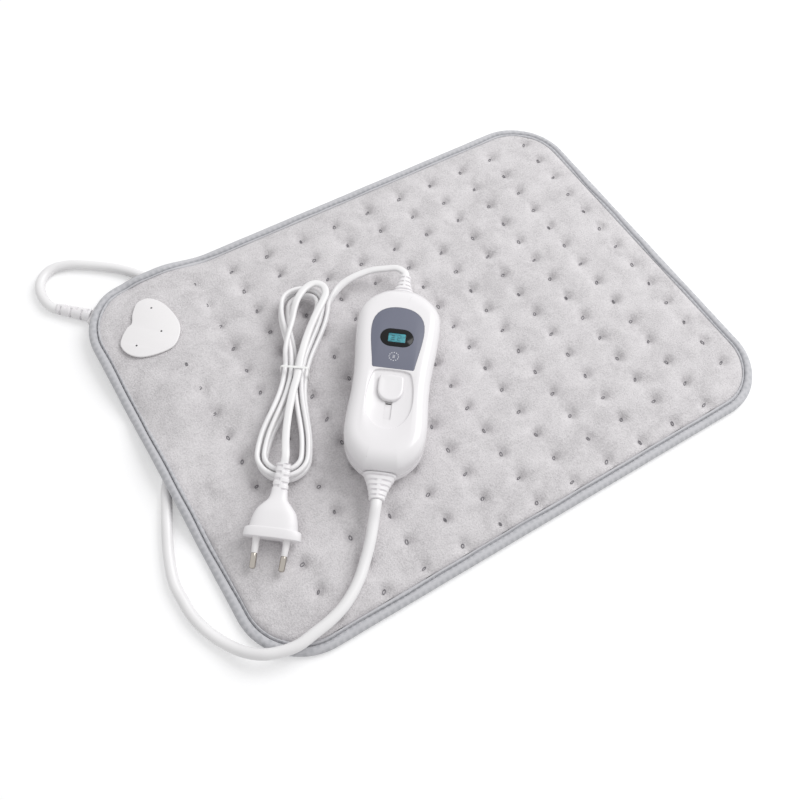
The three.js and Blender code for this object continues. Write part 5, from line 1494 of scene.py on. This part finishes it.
@dataclass
class Controller:
    """The hand control: two shells, label, window with its figure, slide knob and both strain reliefs."""

    finishes: Finishes
    height: float = 28.0
    parting: float = 12.0
    gap: float = 0.3
    wall: float = 2.0
    edge: float = 8.0
    mouth: float = 0.35
    label_depth: float = 0.5
    label_gap: float = 0.12
    recess_depth: float = 1.6
    ceiling: float = 2.3
    floor: float = 2.4
    window_x: float = 20.0
    panel_foot: float = 25.9
    knob_height: float = 2.5
    knob_dish: float = 0.22
    slide_gap: float = 0.3
    screw_places: tuple[Point2, ...] = ((44, 16), (44, -16), (-56, 13), (-56, -13))
    screw_sides: int = 28

    def __post_init__(self) -> None:
        """Draws the outlines that several pieces share."""
        self.frame = FRAMES.controller()
        self.outline = cubic_outline((66.1, 0.0), BODY_CURVES, 10)
        self.label_outline = drop(44.6, -4.0, 17.6, LABEL_SHARES, 8)
        self.window_hole = stadium(self.window_x, 0, 14.4, 22.4, 7.2)

    def make(self) -> None:
        """Makes every piece of the controller."""
        self.top_shell()
        self.bottom_shell()
        self.label()
        self.window()
        self.figure()
        self.knob()
        self.screws()
        self.relief("mains_relief", "mains_strain_relief", HEAD, 1, 16.0, (16.4, 10.4, 8.8), 4)
        self.relief("pad_end_relief", "controller_pad_strain_relief", TAIL, -1, 17.0, (21.8, 14.0, 10.0), 5)

    def domed(self, outline: Sequence[Vector], radius: float, top: float, steps: int) -> list[Ring]:
        """Rounds the upper edge, wider and lower toward both ends.

        Args:
            outline: The counterclockwise outline of the side.
            radius: How far the rounding draws in along the sides.
            top: The level of the flat.
            steps: How many rings the rounding has.

        Returns:
            The rings, from the side up to the flat.
        """
        inward = [b - a for a, b in zip(outline, offset_outline(outline, 1.0))]
        reaches = []
        for point in outline:
            end = max(smoothstep(40.0, 66.0, point.x), 0.3 * smoothstep(52.0, 73.0, -point.x))
            reaches.append((radius * (1 + 1.1 * end), min(top - self.parting - 1.5, radius * (1 + 0.75 * end))))
        rings = []
        for k in range(steps + 1):
            turn = math.pi / 2 * k / steps
            rings.append([
                Vector((p.x, p.y, top - fall * (1 - math.sin(turn)))) + step * draw * (1 - math.cos(turn))
                for p, step, (draw, fall) in zip(outline, inward, reaches)
            ])
        return rings

    def top_shell(self) -> None:
        """Makes the upper shell as a hollow body with the label's pocket, the window, the recess and its slot."""
        build = Build()
        under, low = self.height - self.ceiling, self.parting + self.gap / 2
        rings = [drawn_in(self.outline, self.mouth, low), at_level(self.outline, low + self.mouth)]
        outer = build.tube(rings + self.domed(self.outline, self.edge, self.height, 9))
        hollow = offset_outline(self.outline, self.wall)
        rings = [at_level(hollow, low), *self.domed(hollow, self.edge - self.wall, under, 4)]
        inner = build.tube(rings, flip=True)
        build.band(inner[0], outer[0])
        pocket_floor = self.height - self.label_depth
        levels = (self.height, pocket_floor)
        pocket = build.tube(drawn_in(self.label_outline, -self.label_gap, level) for level in levels)
        window = build.tube(at_level(self.window_hole, level) for level in (pocket_floor, under))
        build.plate(pocket[1], [window[0]])
        recess = drop(-4.8, -48.4, 15.1, RECESS_SHARES, 10)
        floor = self.height - self.recess_depth
        steps = [(-0.5, self.height), (-0.2, self.height - 0.1), (0.0, self.height - 0.4)]
        steps += [(0.1, floor + 0.5), (0.3, floor + 0.15), (0.7, floor)]
        recess_rings = build.tube(drawn_in(recess, inset, level) for inset, level in steps)
        slot = build.tube(at_level(stadium(-27.8, 0, 26.4, 4.6, 0.6, 4), level) for level in (floor, under))
        build.plate(recess_rings[-1], [slot[0]])
        build.plate(outer[-1], [pocket[0], recess_rings[0]])
        build.plate(inner[-1], [window[1], slot[1]], flip=True)
        for x, y in self.screw_places:
            build.add(upright(x, y, [(low, 3.6), (20.5, 3.8)]))
        build.piece(
            "upper_shell", self.finishes.abs, "white_plastic", self.frame, ["controller_top_shell"], crease=35.0)

    def bottom_shell(self) -> None:
        """Makes the lower shell as a tray with four sunk screw holes and their pillars."""
        build = Build()
        levels = []
        for ring in rounded_edge(self.outline, 0.9 * self.edge, self.height, 9, self.edge)[::-1]:
            levels.append(at_level(ring, self.height - ring[0].z))
        top, floor = self.parting - self.gap / 2, self.floor
        rings = [*levels, at_level(self.outline, top - self.mouth), drawn_in(self.outline, self.mouth, top)]
        outer = build.tube(rings)
        steps = [(self.wall, top), (self.wall, 7.5), (3.2, 4.2), (5.2, floor)]
        inner = build.tube(drawn_in(self.outline, inset, level) for inset, level in steps)
        build.band(outer[-1], inner[0])
        wells, pillars = [], []
        for x, y in self.screw_places:
            well = ((0.0, 3.15), (0.15, 3.0), (4.0, 3.0), (4.0, 1.5))
            mouth = build.tube((circle(x, y, z, r, 24) for z, r in well), flip=True)
            profile = ((floor, 4.8), (8.0, 4.8), (8.2, 3.8), (top, 3.8), (top, 1.5))
            rise = build.tube(circle(x, y, z, r, 24) for z, r in profile)
            build.band(rise[-1], mouth[3])
            wells.append(mouth[0])
            pillars.append(rise[0])
        build.plate(outer[0], wells, flip=True)
        build.plate(inner[-1], pillars)
        build.piece(
            "lower_shell", self.finishes.abs, "white_plastic", self.frame, ["controller_bottom_shell"], crease=35.0)

    def label(self) -> None:
        """Makes the printed film with its ring of dots, round three short strokes."""
        top = self.height
        hole = stadium(self.window_x, 0, 14.2, 22.2, 7.1)
        film = slab(self.label_outline, top - 0.42, top, 0.08, [hole])
        film.piece("label_film", self.finishes.film, "label", self.frame, ["display_label"], crease=30.0)
        marks = Build()
        dots, middle_x, middle_y, radius = 12, 5.2, 0.5, 3.1
        profile = [(top - 0.02, 0.34), (top + 0.03, 0.34), (top + 0.04, 0.28)]
        for k in range(dots):
            turn = math.tau * k / dots
            x, y = middle_x + radius * math.cos(turn), middle_y + radius * math.sin(turn)
            marks.add(upright(x, y, profile, 10))
        for k in range(3):
            stroke = stadium(4.3 + 0.9 * k, middle_y, 0.3, 1.6, 0.14, 3)
            marks.add(slab(stroke, top - 0.02, top + 0.04, 0.01))
        marks.piece("label_ring_print", self.finishes.print, "label", self.frame)

    def window(self) -> None:
        """Makes the smoked window with its opening for the lit panel."""
        opening = stadium(self.window_x, 0, 7.0, 11.6, 0.6, 4)
        edge = stadium(self.window_x, 0, 14, 22, 7)
        frame = slab(edge, self.panel_foot, self.height + 0.1, 0.35, [opening])
        frame.piece(
            "window_surround", self.finishes.window, "black_gloss", self.frame, ["display_window"], crease=30.0)
        lit = stadium(self.window_x, 0, 6.9, 11.5, 0.5, 4)
        panel = slab(lit, self.panel_foot, self.height - 0.15, 0.1)
        panel.piece("lit_panel", self.finishes.display, "lit_display", self.frame, ["display_screen"], crease=30.0)

    def figure(self) -> None:
        """Makes the panel's dark figure and its three level bars."""
        level = self.height - 0.17
        outlines = []
        for x, y, across in Digit.TWO.value:
            length, width = (0.36, 1.7) if across else (1.7, 0.36)
            outlines.append(stadium(self.window_x + x, y - 1.6, length, width, 0.16, 3))
        for k in range(3):
            outlines.append(stadium(self.window_x - 1.6 + 1.5 * k, 2.6, 0.55, 2.2, 0.2, 3))
        build = Build()
        for outline in outlines:
            build.add(slab(outline, level, level + 0.04, 0.01))
        build.piece("panel_figure", self.finishes.digit, "lit_display", self.frame)

    def knob(self) -> None:
        """Makes the low dished knob with its stem, and the shutter that closes the slot under it."""
        outline = drop(-9.2, -28.4, 8.2, KNOB_SHARES, 10)
        foot = self.height - self.recess_depth + self.slide_gap
        top = foot + self.knob_height
        build = Build()
        rings = [at_level(outline, foot), at_level(outline, top - 1.0)]
        rings += rounded_edge(outline, 1.0, top, 5)[1:]
        middle = Vector((-18.4, 0.0, 0.0))
        flat = rings[-1]
        # The dish sinks over rings that shrink toward the knob's middle.
        for share in (0.94, 0.84, 0.7, 0.52, 0.3, 0.12):
            dish = self.knob_dish * smoothstep(0.0, 0.55, 1 - share)
            rings.append([middle + (Vector((p.x, p.y, 0)) - middle) * share + UP * (top - dish) for p in flat])
        build.loft(rings)
        build.add(slab(stadium(-18.8, 0, 6.0, 3.6, 0.5, 3), 20.1, foot + 0.6, 0.2))
        build.piece(
            "dished_knob", self.finishes.abs, "white_plastic", self.frame, ["slide_knob"], SLIDER_BODY, crease=35.0)
        level = self.height - self.ceiling - 0.15
        gap = stadium(-29.3, 0, 1.0, 3.6, 0.3, 3)
        shutter = slab(stadium(-19.3, 0, 45.4, 6.4, 1.0, 4), level - 0.8, level, 0.1, [gap])
        shutter.piece("slot_shutter", self.finishes.abs, "white_plastic", self.frame, body=SLIDER_BODY)

    def screws(self) -> None:
        """Makes the four self-tapping screws with crossed drives."""
        arm, half = 2.0 * 0.85, 0.35 * 0.85
        cross = [(arm, half), (half, half), (half, arm)]
        cross += [(-b, a) for a, b in cross]
        cross += [(-a, -b) for a, b in cross]
        for number, (x, y) in enumerate(self.screw_places, 1):
            build = Build()
            drive = [Vector((x + a, y + b, 0)) for a, b in cross]
            head = ((3.7, 1.2), (3.7, 2.7), (2.5, 2.7), (1.9, 2.3), (1.7, 1.9))
            numbers = build.tube((circle(x, y, z, r, self.screw_sides) for z, r in head), flip=True)
            mouth, deep = build.ring(at_level(drive, 1.7)), build.ring(at_level(drive, 2.6))
            build.band(deep, mouth)
            build.plate(numbers[-1], [mouth], flip=True)
            build.plate(deep, flip=True)
            thread = []
            for turn in range(13):
                thread += [(4.1 + turn, 0.92), (4.6 + turn, 1.2)]
            thread += [(17.6, 0.9), (18.7, 0.2)]
            shank = build.tube(circle(x, y, z, r, self.screw_sides) for z, r in thread)
            build.fan(shank[-1])
            build.band(numbers[0], shank[0])
            build.piece(
                f"cross_screw_{number}", self.finishes.zinc, "steel", self.frame, [f"case_screw_{number}"],
                crease=35.0)

    def relief(
        self, name: str, node: str, wall: float, side: int, length: float, widths: Point, ribs: int,
    ) -> None:
        """Makes a moulded strain relief: a flange inside, a neck through the wall and a slotted taper outside.

        Args:
            name: The piece's name.
            node: The solid that it replaces.
            wall: How far from the middle the shell's end wall is.
            side: 1 for the mains end, -1 for the pad end.
            length: The taper's length.
            widths: Its width at root, middle and tip.
            ribs: How many slots it has.
        """
        rings: list[Ring] = []
        sides = 40
        for beyond, radius in ((-4.3, 5.0), (-4.1, 5.4), (-2.5, 5.4), (-2.3, 4.5), (0.25, 4.5)):
            rings.append([Vector((wall + beyond, a, self.parting + b)) for a, b in oval(radius, radius, sides)])
        root, middle, tip = widths
        steps = 18 * ribs
        bulge = 2 * middle - (root + tip) / 2
        for k in range(steps + 1):
            share = k / steps
            width = root * (1 - share) ** 2 + 2 * bulge * share * (1 - share) + tip * share**2
            height = mix(13.0, min(tip, 9.0), 1 - (1 - share) ** 2)
            phase = (share * (ribs + 0.3) - 0.05) % 1.0
            groove = pulse(phase, (0.34, 0.42), (0.68, 0.76)) if share < 0.95 else 0.0
            # Past the widest slots a spine along the middle joins the ribs.
            spine = 0.09 if share > 1.2 / ribs else -1.0
            end = 0.5 * max(0.0, 1 - share * 30) + 0.5 * max(0.0, 1 - (1 - share) * 30)
            x = wall + 0.3 + length * share
            ring = []
            for a, b in oval(width / 2 - end, height / 2 - end, sides, mix(0.75, 1.0, share)):
                bridge = smoothstep(spine, spine + 0.05, abs(a) / width)
                scale = 1 - groove * bridge * 2.6 / height
                ring.append(Vector((x, a * (1 - groove * 0.05), self.parting + b * scale)))
            rings.append(ring)
        if side < 0:
            rings = [[Vector((-p.x, -p.y, p.z)) for p in ring] for ring in rings]
        skinned(rings).piece(name, self.finishes.soft, "soft_plastic", self.frame, [node], crease=38.0)


# The cords


class Section(Enum):
    """The cords' cross sections as width, height and squareness."""

    ROUND = (7.0, 7.0, 1.0)
    FLAT = (3.2, 5.0, 0.78)


def swept(path: Sequence[Vector], section: Section, rolls: Sequence[float], sides: int = 16) -> Build:
    """Skins a cord along a path.

    Args:
        path: The cord's centreline, evenly spaced.
        section: Its cross section.
        rolls: For each point how far the section is rolled, in radians.
        sides: How many points each ring has.

    Returns:
        The cord.
    """
    width, height, squareness = section.value
    points = oval(width / 2, height / 2, sides, squareness)
    rings = []
    for i, centre in enumerate(path):
        travel = (path[min(i + 1, len(path) - 1)] - path[max(i - 1, 0)]).normalized()
        across = UP.cross(travel).normalized()
        above = travel.cross(across)
        cosine, sine = math.cos(rolls[i]), math.sin(rolls[i])
        side_axis = across * cosine + above * sine
        up_axis = above * cosine - across * sine
        rings.append([centre + side_axis * a + up_axis * b for a, b in points])
    return skinned(rings)


@dataclass
class PadCord:
    """The round cord from the controller under the pad to the connector at its corner."""

    finishes: Finishes
    exit_x: float = 90.6
    parting: float = 12.0
    level: float = 3.6
    lane: float = -4.5
    relief_root: float = 47.2
    relief_length: float = 25.0
    relief_ribs: int = 6
    relief_radii: Point2 = (4.7, 3.9)
    over_pad: tuple[Point, ...] = (
        (-102, -98.5, 19.8), (-110, -108, 17), (-119, -117, 15.3), (-128, -125, 14.8), (-141, -133, 14.6),
        (-153, -137, 14.6), (-166, -139, 14.2), (-177, -140, 13.2), (-187, -138, 12.2), (-196, -134, 10.8),
        (-204, -127, 8), (-211, -117, 5.2), (-217, -105, 3.9), (-221, -92, 3.6), (-222, -79, 3.6),
        (-222, -67, 3.6), (-218, -51, 3.6), (-212, -35, 3.6),
    )
    loop: tuple[Point2, ...] = (
        (-164, 174), (-175, 182), (-187, 189), (-198, 191), (-206, 187.5), (-211.5, 180), (-213, 169),
    )

    def make(self) -> None:
        controller, corner = FRAMES.controller(), FRAMES.connector()
        start = controller @ Vector((-self.exit_x, 0, self.parting))
        run = controller @ Vector((-self.exit_x - 3.5, 0, self.parting))
        tip, tip_run = corner @ Vector((72.5, self.lane, 4.0)), corner @ Vector((76.0, self.lane, 4.0))
        flat = [(x, y, self.level) for x, y in [*HIDDEN_ROUTE, *self.loop]]
        path = evenly(centripetal([start, run, *self.over_pad, *flat, tip_run, tip], 12), 2.4)
        build = swept(path, Section.ROUND, [0.0] * len(path), 20)
        cord = build.piece("pad_lead", self.finishes.cord, "cord_jacket", replaces=["pad_cord"])
        relief = self.corner_relief(corner)
        LOG.info("pad cord: %.0f mm long", run_length(path))

    def corner_relief(self, corner: Matrix) -> bpy.types.Object:
        """Makes the tapered relief at the pad's corner, with slots on alternate sides.

        Args:
            corner: The connector's frame.

        Returns:
            The new object.
        """
        rings: list[Ring] = []
        steps, sides = 96, 32
        for k in range(steps + 1):
            share = k / steps
            radius = mix(*self.relief_radii, share)
            end = 0.5 * max(0.0, 1 - share * 30) + 0.4 * max(0.0, 1 - (1 - share) * 30)
            pitches = share * (self.relief_ribs + 0.3)
            groove = pulse(pitches % 1.0, (0.3, 0.38), (0.68, 0.76)) if share < 0.96 else 0.0
            slot_side = 1 if int(pitches) % 2 else -1
            level = 0.1 + radius
            ring = []
            for side in range(sides):
                turn = math.tau * side / sides
                depth = groove * smoothstep(-0.15, 0.05, slot_side * math.cos(turn)) * 1.7
                reach = radius - end - depth
                ring.append(Vector((
                    self.relief_root + self.relief_length * share,
                    self.lane + reach * math.cos(turn), level + reach * math.sin(turn),
                )))
            rings.append(ring)
        return skinned(rings).piece(
            "corner_relief", self.finishes.soft, "soft_plastic", corner, ["pad_strain_relief"], crease=38.0)


# The mains cord's way from the controller to the hank, in the model.
LEAD_ROUTE = [
    (11, 57.5, 22.2), (4, 62, 21), (-4, 66, 20), (-13, 68, 19), (-22, 68.5, 18), (-30.5, 67.2, 16.6),
    (-38, 63.6, 15.4),
]
# Its way from the hank's last turn over the hank to the plug, in the hank's frame.
TAIL_ROUTE = [
    (13, 7.9, 23.2), (21, 7.6, 24.9), (29, 6.8, 25.4), (38, 6.0, 25.4), (48, 5.6, 25.4), (57, 4.0, 25.4),
    (65.5, -0.2, 25.4), (70, -6, 25.4), (68.5, -12, 25.4), (62.5, -14.5, 25.4), (55, -13, 25.3),
    (45, -9.8, 25.1), (27.2, -5.6, 24.8), (10, -3.2, 24.2), (-2.3, -2.6, 24.2), (-22.2, -0.4, 24.2),
    (-41.4, 0.2, 24.8), (-55, -0.6, 26),
]
# The plug's body as places with shares of its half width and height, and its rim with the half sizes themselves.
PLUG_TAPER = [
    (-47.0, 0.3, 0.38), (-40.0, 0.32, 0.4), (-32.9, 0.335, 0.42), (-27.5, 0.35, 0.48), (-24.0, 0.42, 0.58),
    (-20.5, 0.62, 0.72), (-16.5, 0.83, 0.85), (-11.0, 0.95, 0.93), (-6.0, 1.0, 0.97),
]
PLUG_RIM = [
    (-5.8, 15.9, 6.8), (-5.5, 16.8, 6.85), (-4.9, 17.35, 6.85), (-0.6, 17.65, 6.85), (-0.15, 17.5, 6.7),
    (0.0, 17.1, 6.3),
]
PIN_PROFILE = [
    (-8.0, 1.3), (9.8, 1.3), (9.8, 1.95), (10.0, 2.0), (17.4, 2.0), (18.2, 1.8), (18.7, 1.4), (18.95, 0.8),
    (19.0, 0.3),
]
SLEEVE_PROFILE = [(-3.0, 2.2), (0.2, 2.35), (3.0, 2.1), (9.2, 1.95), (9.5, 1.8)]


@dataclass
class MainsCord:
    """The flat mains cord: a lead to the hank, the hank with its tie, a tail down its middle, and the plug."""

    finishes: Finishes
    top_reach: float = 72.5
    bottom_reach: float = 78.0
    lobe: float = 16.4
    waist: float = 7.6
    lobe_step: float = 4.0
    waist_step: float = 4.2
    leg_share: float = 0.72
    lower: float = 14.1
    upper: float = 19.6
    half_turns: int = 7
    hank_samples: int = 760
    plug_length: float = 47.0
    plug_neck: float = 17.0
    plug_slots: int = 4
    plug_half: Point2 = (14.8, 6.85)
    pin_place: float = 9.3
    pin_length: float = 19.0
    pin_lean: float = 0.55

    def place(self, turns: float) -> Vector:
        """Finds a place on the hank's centreline.

        A half turn is a leg, bowed out from the waist, and a half circle. The loops narrow up to the reversal
        and widen again above it, where the cord climbs to the upper layer.

        Args:
            turns: How many turns lie before it.

        Returns:
            The place, in the hank's frame.
        """
        reversal = 2 - (1 - self.leg_share) / 4
        inward = turns if turns < reversal else 2 * reversal - turns
        lobe, waist = self.lobe - self.lobe_step * inward, self.waist - self.waist_step * inward
        half = math.floor(2 * turns)
        share = 2 * turns - half
        downward = half % 2 == 0
        side = -1 if downward else 1
        top, bottom = self.top_reach - self.lobe, -(self.bottom_reach - self.lobe)
        climb = min(1.0, max(0.0, (2 * turns - 3 - self.leg_share) / (1 - self.leg_share)))
        z = mix(self.lower, self.upper, ease(climb))
        if share < self.leg_share:
            x = mix(*((top, bottom) if downward else (bottom, top)), share / self.leg_share)
            reach = top if x > 0 else -bottom
            y = side * (waist + (lobe - waist) * (1 - math.cos(math.pi * abs(x) / reach)) / 2)
            return self.fanned(x, y, z)
        turn = math.pi * (share - self.leg_share) / (1 - self.leg_share)
        end, outward = (bottom, -1) if downward else (top, 1)
        return self.fanned(end + outward * lobe * math.sin(turn), side * lobe * math.cos(turn), z)

    def fanned(self, x: float, y: float, z: float) -> Vector:
        """Returns a place spread a little to the side, as loose loops fan out away from the tie."""
        spread = 0.25 * smoothstep(12.0, 50.0, x) if y > 0 else 0.0
        spread += (0.13 if y > 0 else 0.06) * smoothstep(12.0, 50.0, -x)
        return Vector((x, y * (1 + spread * smoothstep(0.0, 6.0, abs(y))), z))

    def make(self) -> None:
        hank, controller, plug = FRAMES.hank(), FRAMES.controller(), FRAMES.plug()
        first = self.place(0.0)
        exit_point = controller @ Vector((82.6, 0, 12))
        lead = [exit_point, controller @ Vector((85.8, 0, 12)), *LEAD_ROUTE, hank @ (first + Vector((5, 0, 0)))]
        top, bottom = self.top_reach - self.lobe, self.bottom_reach - self.lobe
        last_turn = (self.half_turns + self.leg_share * bottom / (bottom + top)) / 2
        count = self.hank_samples
        hank_points = [hank @ self.place(last_turn * k / count) for k in range(count + 1)]
        last = self.place(last_turn)
        tail = [hank @ last, hank @ (last + Vector((5, 0, 0))), *[hank @ Vector(p) for p in TAIL_ROUTE]]
        tail += [plug @ Vector((-self.plug_length - 5.3, 0, 0)), plug @ Vector((-self.plug_length - 0.2, 0, 0))]
        lead_run = evenly(centripetal([*lead, hank_points[0]], 12), 2.0)
        hank_run = evenly(hank_points, 2.0)
        tail_run = evenly(centripetal(tail, 12), 2.0)
        path = [*lead_run, *hank_run[1:], *tail_run[1:]]
        # The flat cord lies flat at both ends and stands on edge along the hank.
        rolls = [math.pi / 2 * (1 - smoothstep(0.55, 0.95, k / len(lead_run))) for k in range(len(lead_run))]
        rolls += [0.0] * (len(hank_run) - 1)
        rolls += [math.pi / 2 * smoothstep(0.03, 0.35, k / len(tail_run)) for k in range(1, len(tail_run))]
        build = swept(path, Section.FLAT, rolls)
        nodes = ["mains_cord_lead", "mains_cord_hank", "mains_cord_tail"]
        cord = build.piece("mains_cord", self.finishes.cord, "cord_jacket", replaces=nodes)
        pieces = [self.tie(hank), *self.plug(plug)]
        LOG.info("mains cord: %.0f mm long", run_length(path))

    def tie(self, hank: Matrix) -> bpy.types.Object:
        """Makes the thin band round the hank's waist.

        Args:
            hank: The hank's frame.

        Returns:
            The new object.
        """
        rings = []
        middle, half_height, half_width = 18.95, 7.35, 9.2
        section = oval(0.85, 0.26, 10, 0.8)
        for point in stadium(0, 0, 2 * half_width, 2 * half_height, 2.0, 8):
            outward = Vector((point.x / half_width, point.y / half_height, 0)).normalized()
            centre = Vector((0.0, point.x, middle + point.y))
            normal = Vector((0.0, outward.x, outward.y))
            rings.append([centre + Vector((a, 0, 0)) + normal * (0.26 + b) for a, b in section])
        return skinned(rings, joined=True).piece("waist_tie", self.finishes.tie, "soft_plastic", hank, ["cord_tie"])

    def plug_body(self) -> Build:
        """Returns the plug's body, with a slotted neck and a flat rim."""
        width, height = self.plug_half
        rings: list[Ring] = []
        sides = 48
        for x, half_width, half_height in centripetal([(x, w * width, h * height) for x, w, h in PLUG_TAPER], 14):
            share = (x + self.plug_length) / self.plug_neck
            ring = []
            for a, b in oval(half_width, half_height, sides, mix(0.85, 0.62, min(1.0, max(0.0, (x + 34) / 14)))):
                # The slots on one side stand half a pitch beyond those on the other.
                phase = (share * self.plug_slots + (0.5 if a > 0 else 0.0)) % 1.0
                slot = pulse(phase, (0.22, 0.32), (0.62, 0.72)) if 0.02 < share < 0.98 else 0.0
                bridge = smoothstep(0.04, 0.1, abs(a) / (2 * half_width))
                ring.append(Vector((x, a * (1 - 0.1 * slot), b * (1 - 0.42 * slot * bridge))))
            rings.append(ring)
        for x, half_width, half_height in PLUG_RIM:
            rings.append([Vector((x, a, b)) for a, b in oval(half_width, half_height, sides, 0.6)])
        return skinned(rings)

    def plug(self, plug: Matrix) -> list[bpy.types.Object]:
        """Makes the flat plug with its pins and their sleeves.

        Args:
            plug: The plug's frame.

        Returns:
            The new objects.
        """
        looks = self.finishes
        made = [self.plug_body().piece("plug_shell", looks.soft, "soft_plastic", plug, ["plug_body"], crease=38.0)]
        for number, side in enumerate((-1, 1), 1):
            lean = -side * math.atan2(self.pin_lean, self.pin_length)
            turned = plug @ standing((0, side * self.pin_place, 0), lean)
            pin, sleeve = lying(PIN_PROFILE), lying(SLEEVE_PROFILE)
            made.append(pin.piece(
                f"pin_{number}", looks.nickel, "pin_metal", turned, [f"plug_pin_{number}"], crease=35.0))
            made.append(sleeve.piece(
                f"pin_sleeve_{number}", looks.plate, "white_plastic", turned, [f"plug_pin_sleeve_{number}"],
                crease=35.0))
        return made


# Kept solids, studio and main


def dress(nodes: dict[str, bpy.types.Object], finishes: Finishes) -> None:
    """Gives each solid that stays in view its finish.

    Args:
        nodes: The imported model's solids by name.
        finishes: The materials.
    """
    kept = [
        (finishes.plate, ["connector_base", "connector_cover"]),
        (finishes.black, [
            "connector_terminal_block", "temperature_sensor_1", "temperature_sensor_2", "display_module",
            "slide_switch_body", "slide_carriage", "mains_terminal_block", "pad_terminal_block", "capacitor",
            "pad_cord_inner_cores", "mains_cord_inner_cores", "controller_cord_inner_cores",
        ]),
        (finishes.glass, ["thermal_fuse", "fuse"]),
        (finishes.silicone, ["heating_wire"]),
        (finishes.cord, ["heater_lead_1", "heater_lead_2"]),
        (finishes.board, ["circuit_board"]),
    ]
    for finish, names in kept:
        for name in names:
            for material_slot in nodes[name].material_slots:
                material_slot.material = finish
        LOG.info("%s on %d solids", finish.name, len(names))


@dataclass
class Studio:
    """The photograph's camera, one broad soft lamp with the sky's fill, and a white floor."""

    eye: Point = (-0.221506, -0.269702, 0.533720)
    right: Point = (0.84877, -0.52605, 0.05347)
    up: Point = (0.43504, 0.75222, 0.49488)
    forward: Point = (0.30056, 0.39677, -0.86732)
    lens: float = 40.506
    lamp_at: Point = (1.2, 0.05, 1.4)
    lamp_size: float = 1.2
    lamp_power: float = 20.5
    sky: float = 0.62
    floor_half: float = 6.0

    def camera(self) -> None:
        """Makes the camera."""
        data = bpy.data.cameras.new("photo_camera")
        data.lens, data.sensor_width = self.lens, 36.0
        data.clip_start, data.clip_end = 0.02, 50.0
        obj = linked("photo_camera", data)
        back = -Vector(self.forward)
        turn = Matrix((self.right, self.up, tuple(back))).transposed()
        obj.matrix_world = Matrix.Translation(self.eye) @ turn.to_4x4()
        bpy.context.scene.camera = obj

    def lamps(self) -> None:
        """Makes the broad lamp and the sky, which is white where it is seen."""
        data = bpy.data.lights.new("soft_box", "AREA")
        data.shape, data.size, data.energy = "SQUARE", self.lamp_size, self.lamp_power
        obj = linked("soft_box", data)
        obj.location = self.lamp_at
        obj.rotation_euler = (-Vector(self.lamp_at)).to_track_quat("-Z", "Y").to_euler()
        world = bpy.context.scene.world = bpy.data.worlds.new("sky")
        nodes = Nodes(world)
        lit, white = nodes.tree.nodes["Background"], linear("#ffffff")
        nodes.fill(lit, {"Color": white, "Strength": self.sky})
        seen = nodes.node("ShaderNodeBackground", {"Color": white, "Strength": 1.0})
        choice = nodes.node("ShaderNodeMixShader", {
            "0": nodes.looked_at(), "1": lit.outputs["Background"], "2": seen.outputs["Background"],
        })
        nodes.fill(nodes.tree.nodes["World Output"], {"Surface": choice.outputs["Shader"]})

    def floor(self) -> None:
        """Makes the floor, white where it is seen and with the object's soft shadow."""
        build = Build()
        half = self.floor_half / MM
        build.faces.append(tuple(build.ring(at_level(stadium(0, 0, 2 * half, 2 * half, 300, 8), -0.05))))
        mesh = build.mesh("paper_floor")
        obj = linked("paper_floor", mesh)
        nodes = Nodes(bpy.data.materials.new("white_paper_sweep"))
        nodes.fill(nodes.shader, {"Base Color": linear("#e4e4e4"), "Roughness": 0.9, "Specular IOR Level": 0.0})
        paper = nodes.node("ShaderNodeBsdfDiffuse", {"Color": linear("#dcdcdd")})
        glow = nodes.node("ShaderNodeEmission", {"Color": linear("#ffffff"), "Strength": 0.36})
        seen = nodes.node("ShaderNodeAddShader", {"0": paper.outputs["BSDF"], "1": glow.outputs["Emission"]})
        choice = nodes.node("ShaderNodeMixShader", {
            "0": nodes.looked_at(), "1": nodes.shader.outputs["BSDF"], "2": seen.outputs["Shader"],
        })
        nodes.fill(nodes.tree.nodes["Material Output"], {"Surface": choice.outputs["Shader"]})
        mesh.materials.append(nodes.owner)


def main() -> None:
    """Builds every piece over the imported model."""
    logging.basicConfig(level=logging.INFO, format="%(message)s")
    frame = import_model()
    bpy.context.scene.view_settings.view_transform = "Standard"
    studio = Studio()
    studio.camera()
    finishes = Finishes()
    PadCord(finishes).make()
    MainsCord(finishes).make()
    Pad(finishes).make()
    Controller(finishes).make()
    dress(frame["nodes"], finishes)
    studio.lamps()
    studio.floor()
    bpy.context.view_layer.update()


if __name__ == "__main__":
    main()
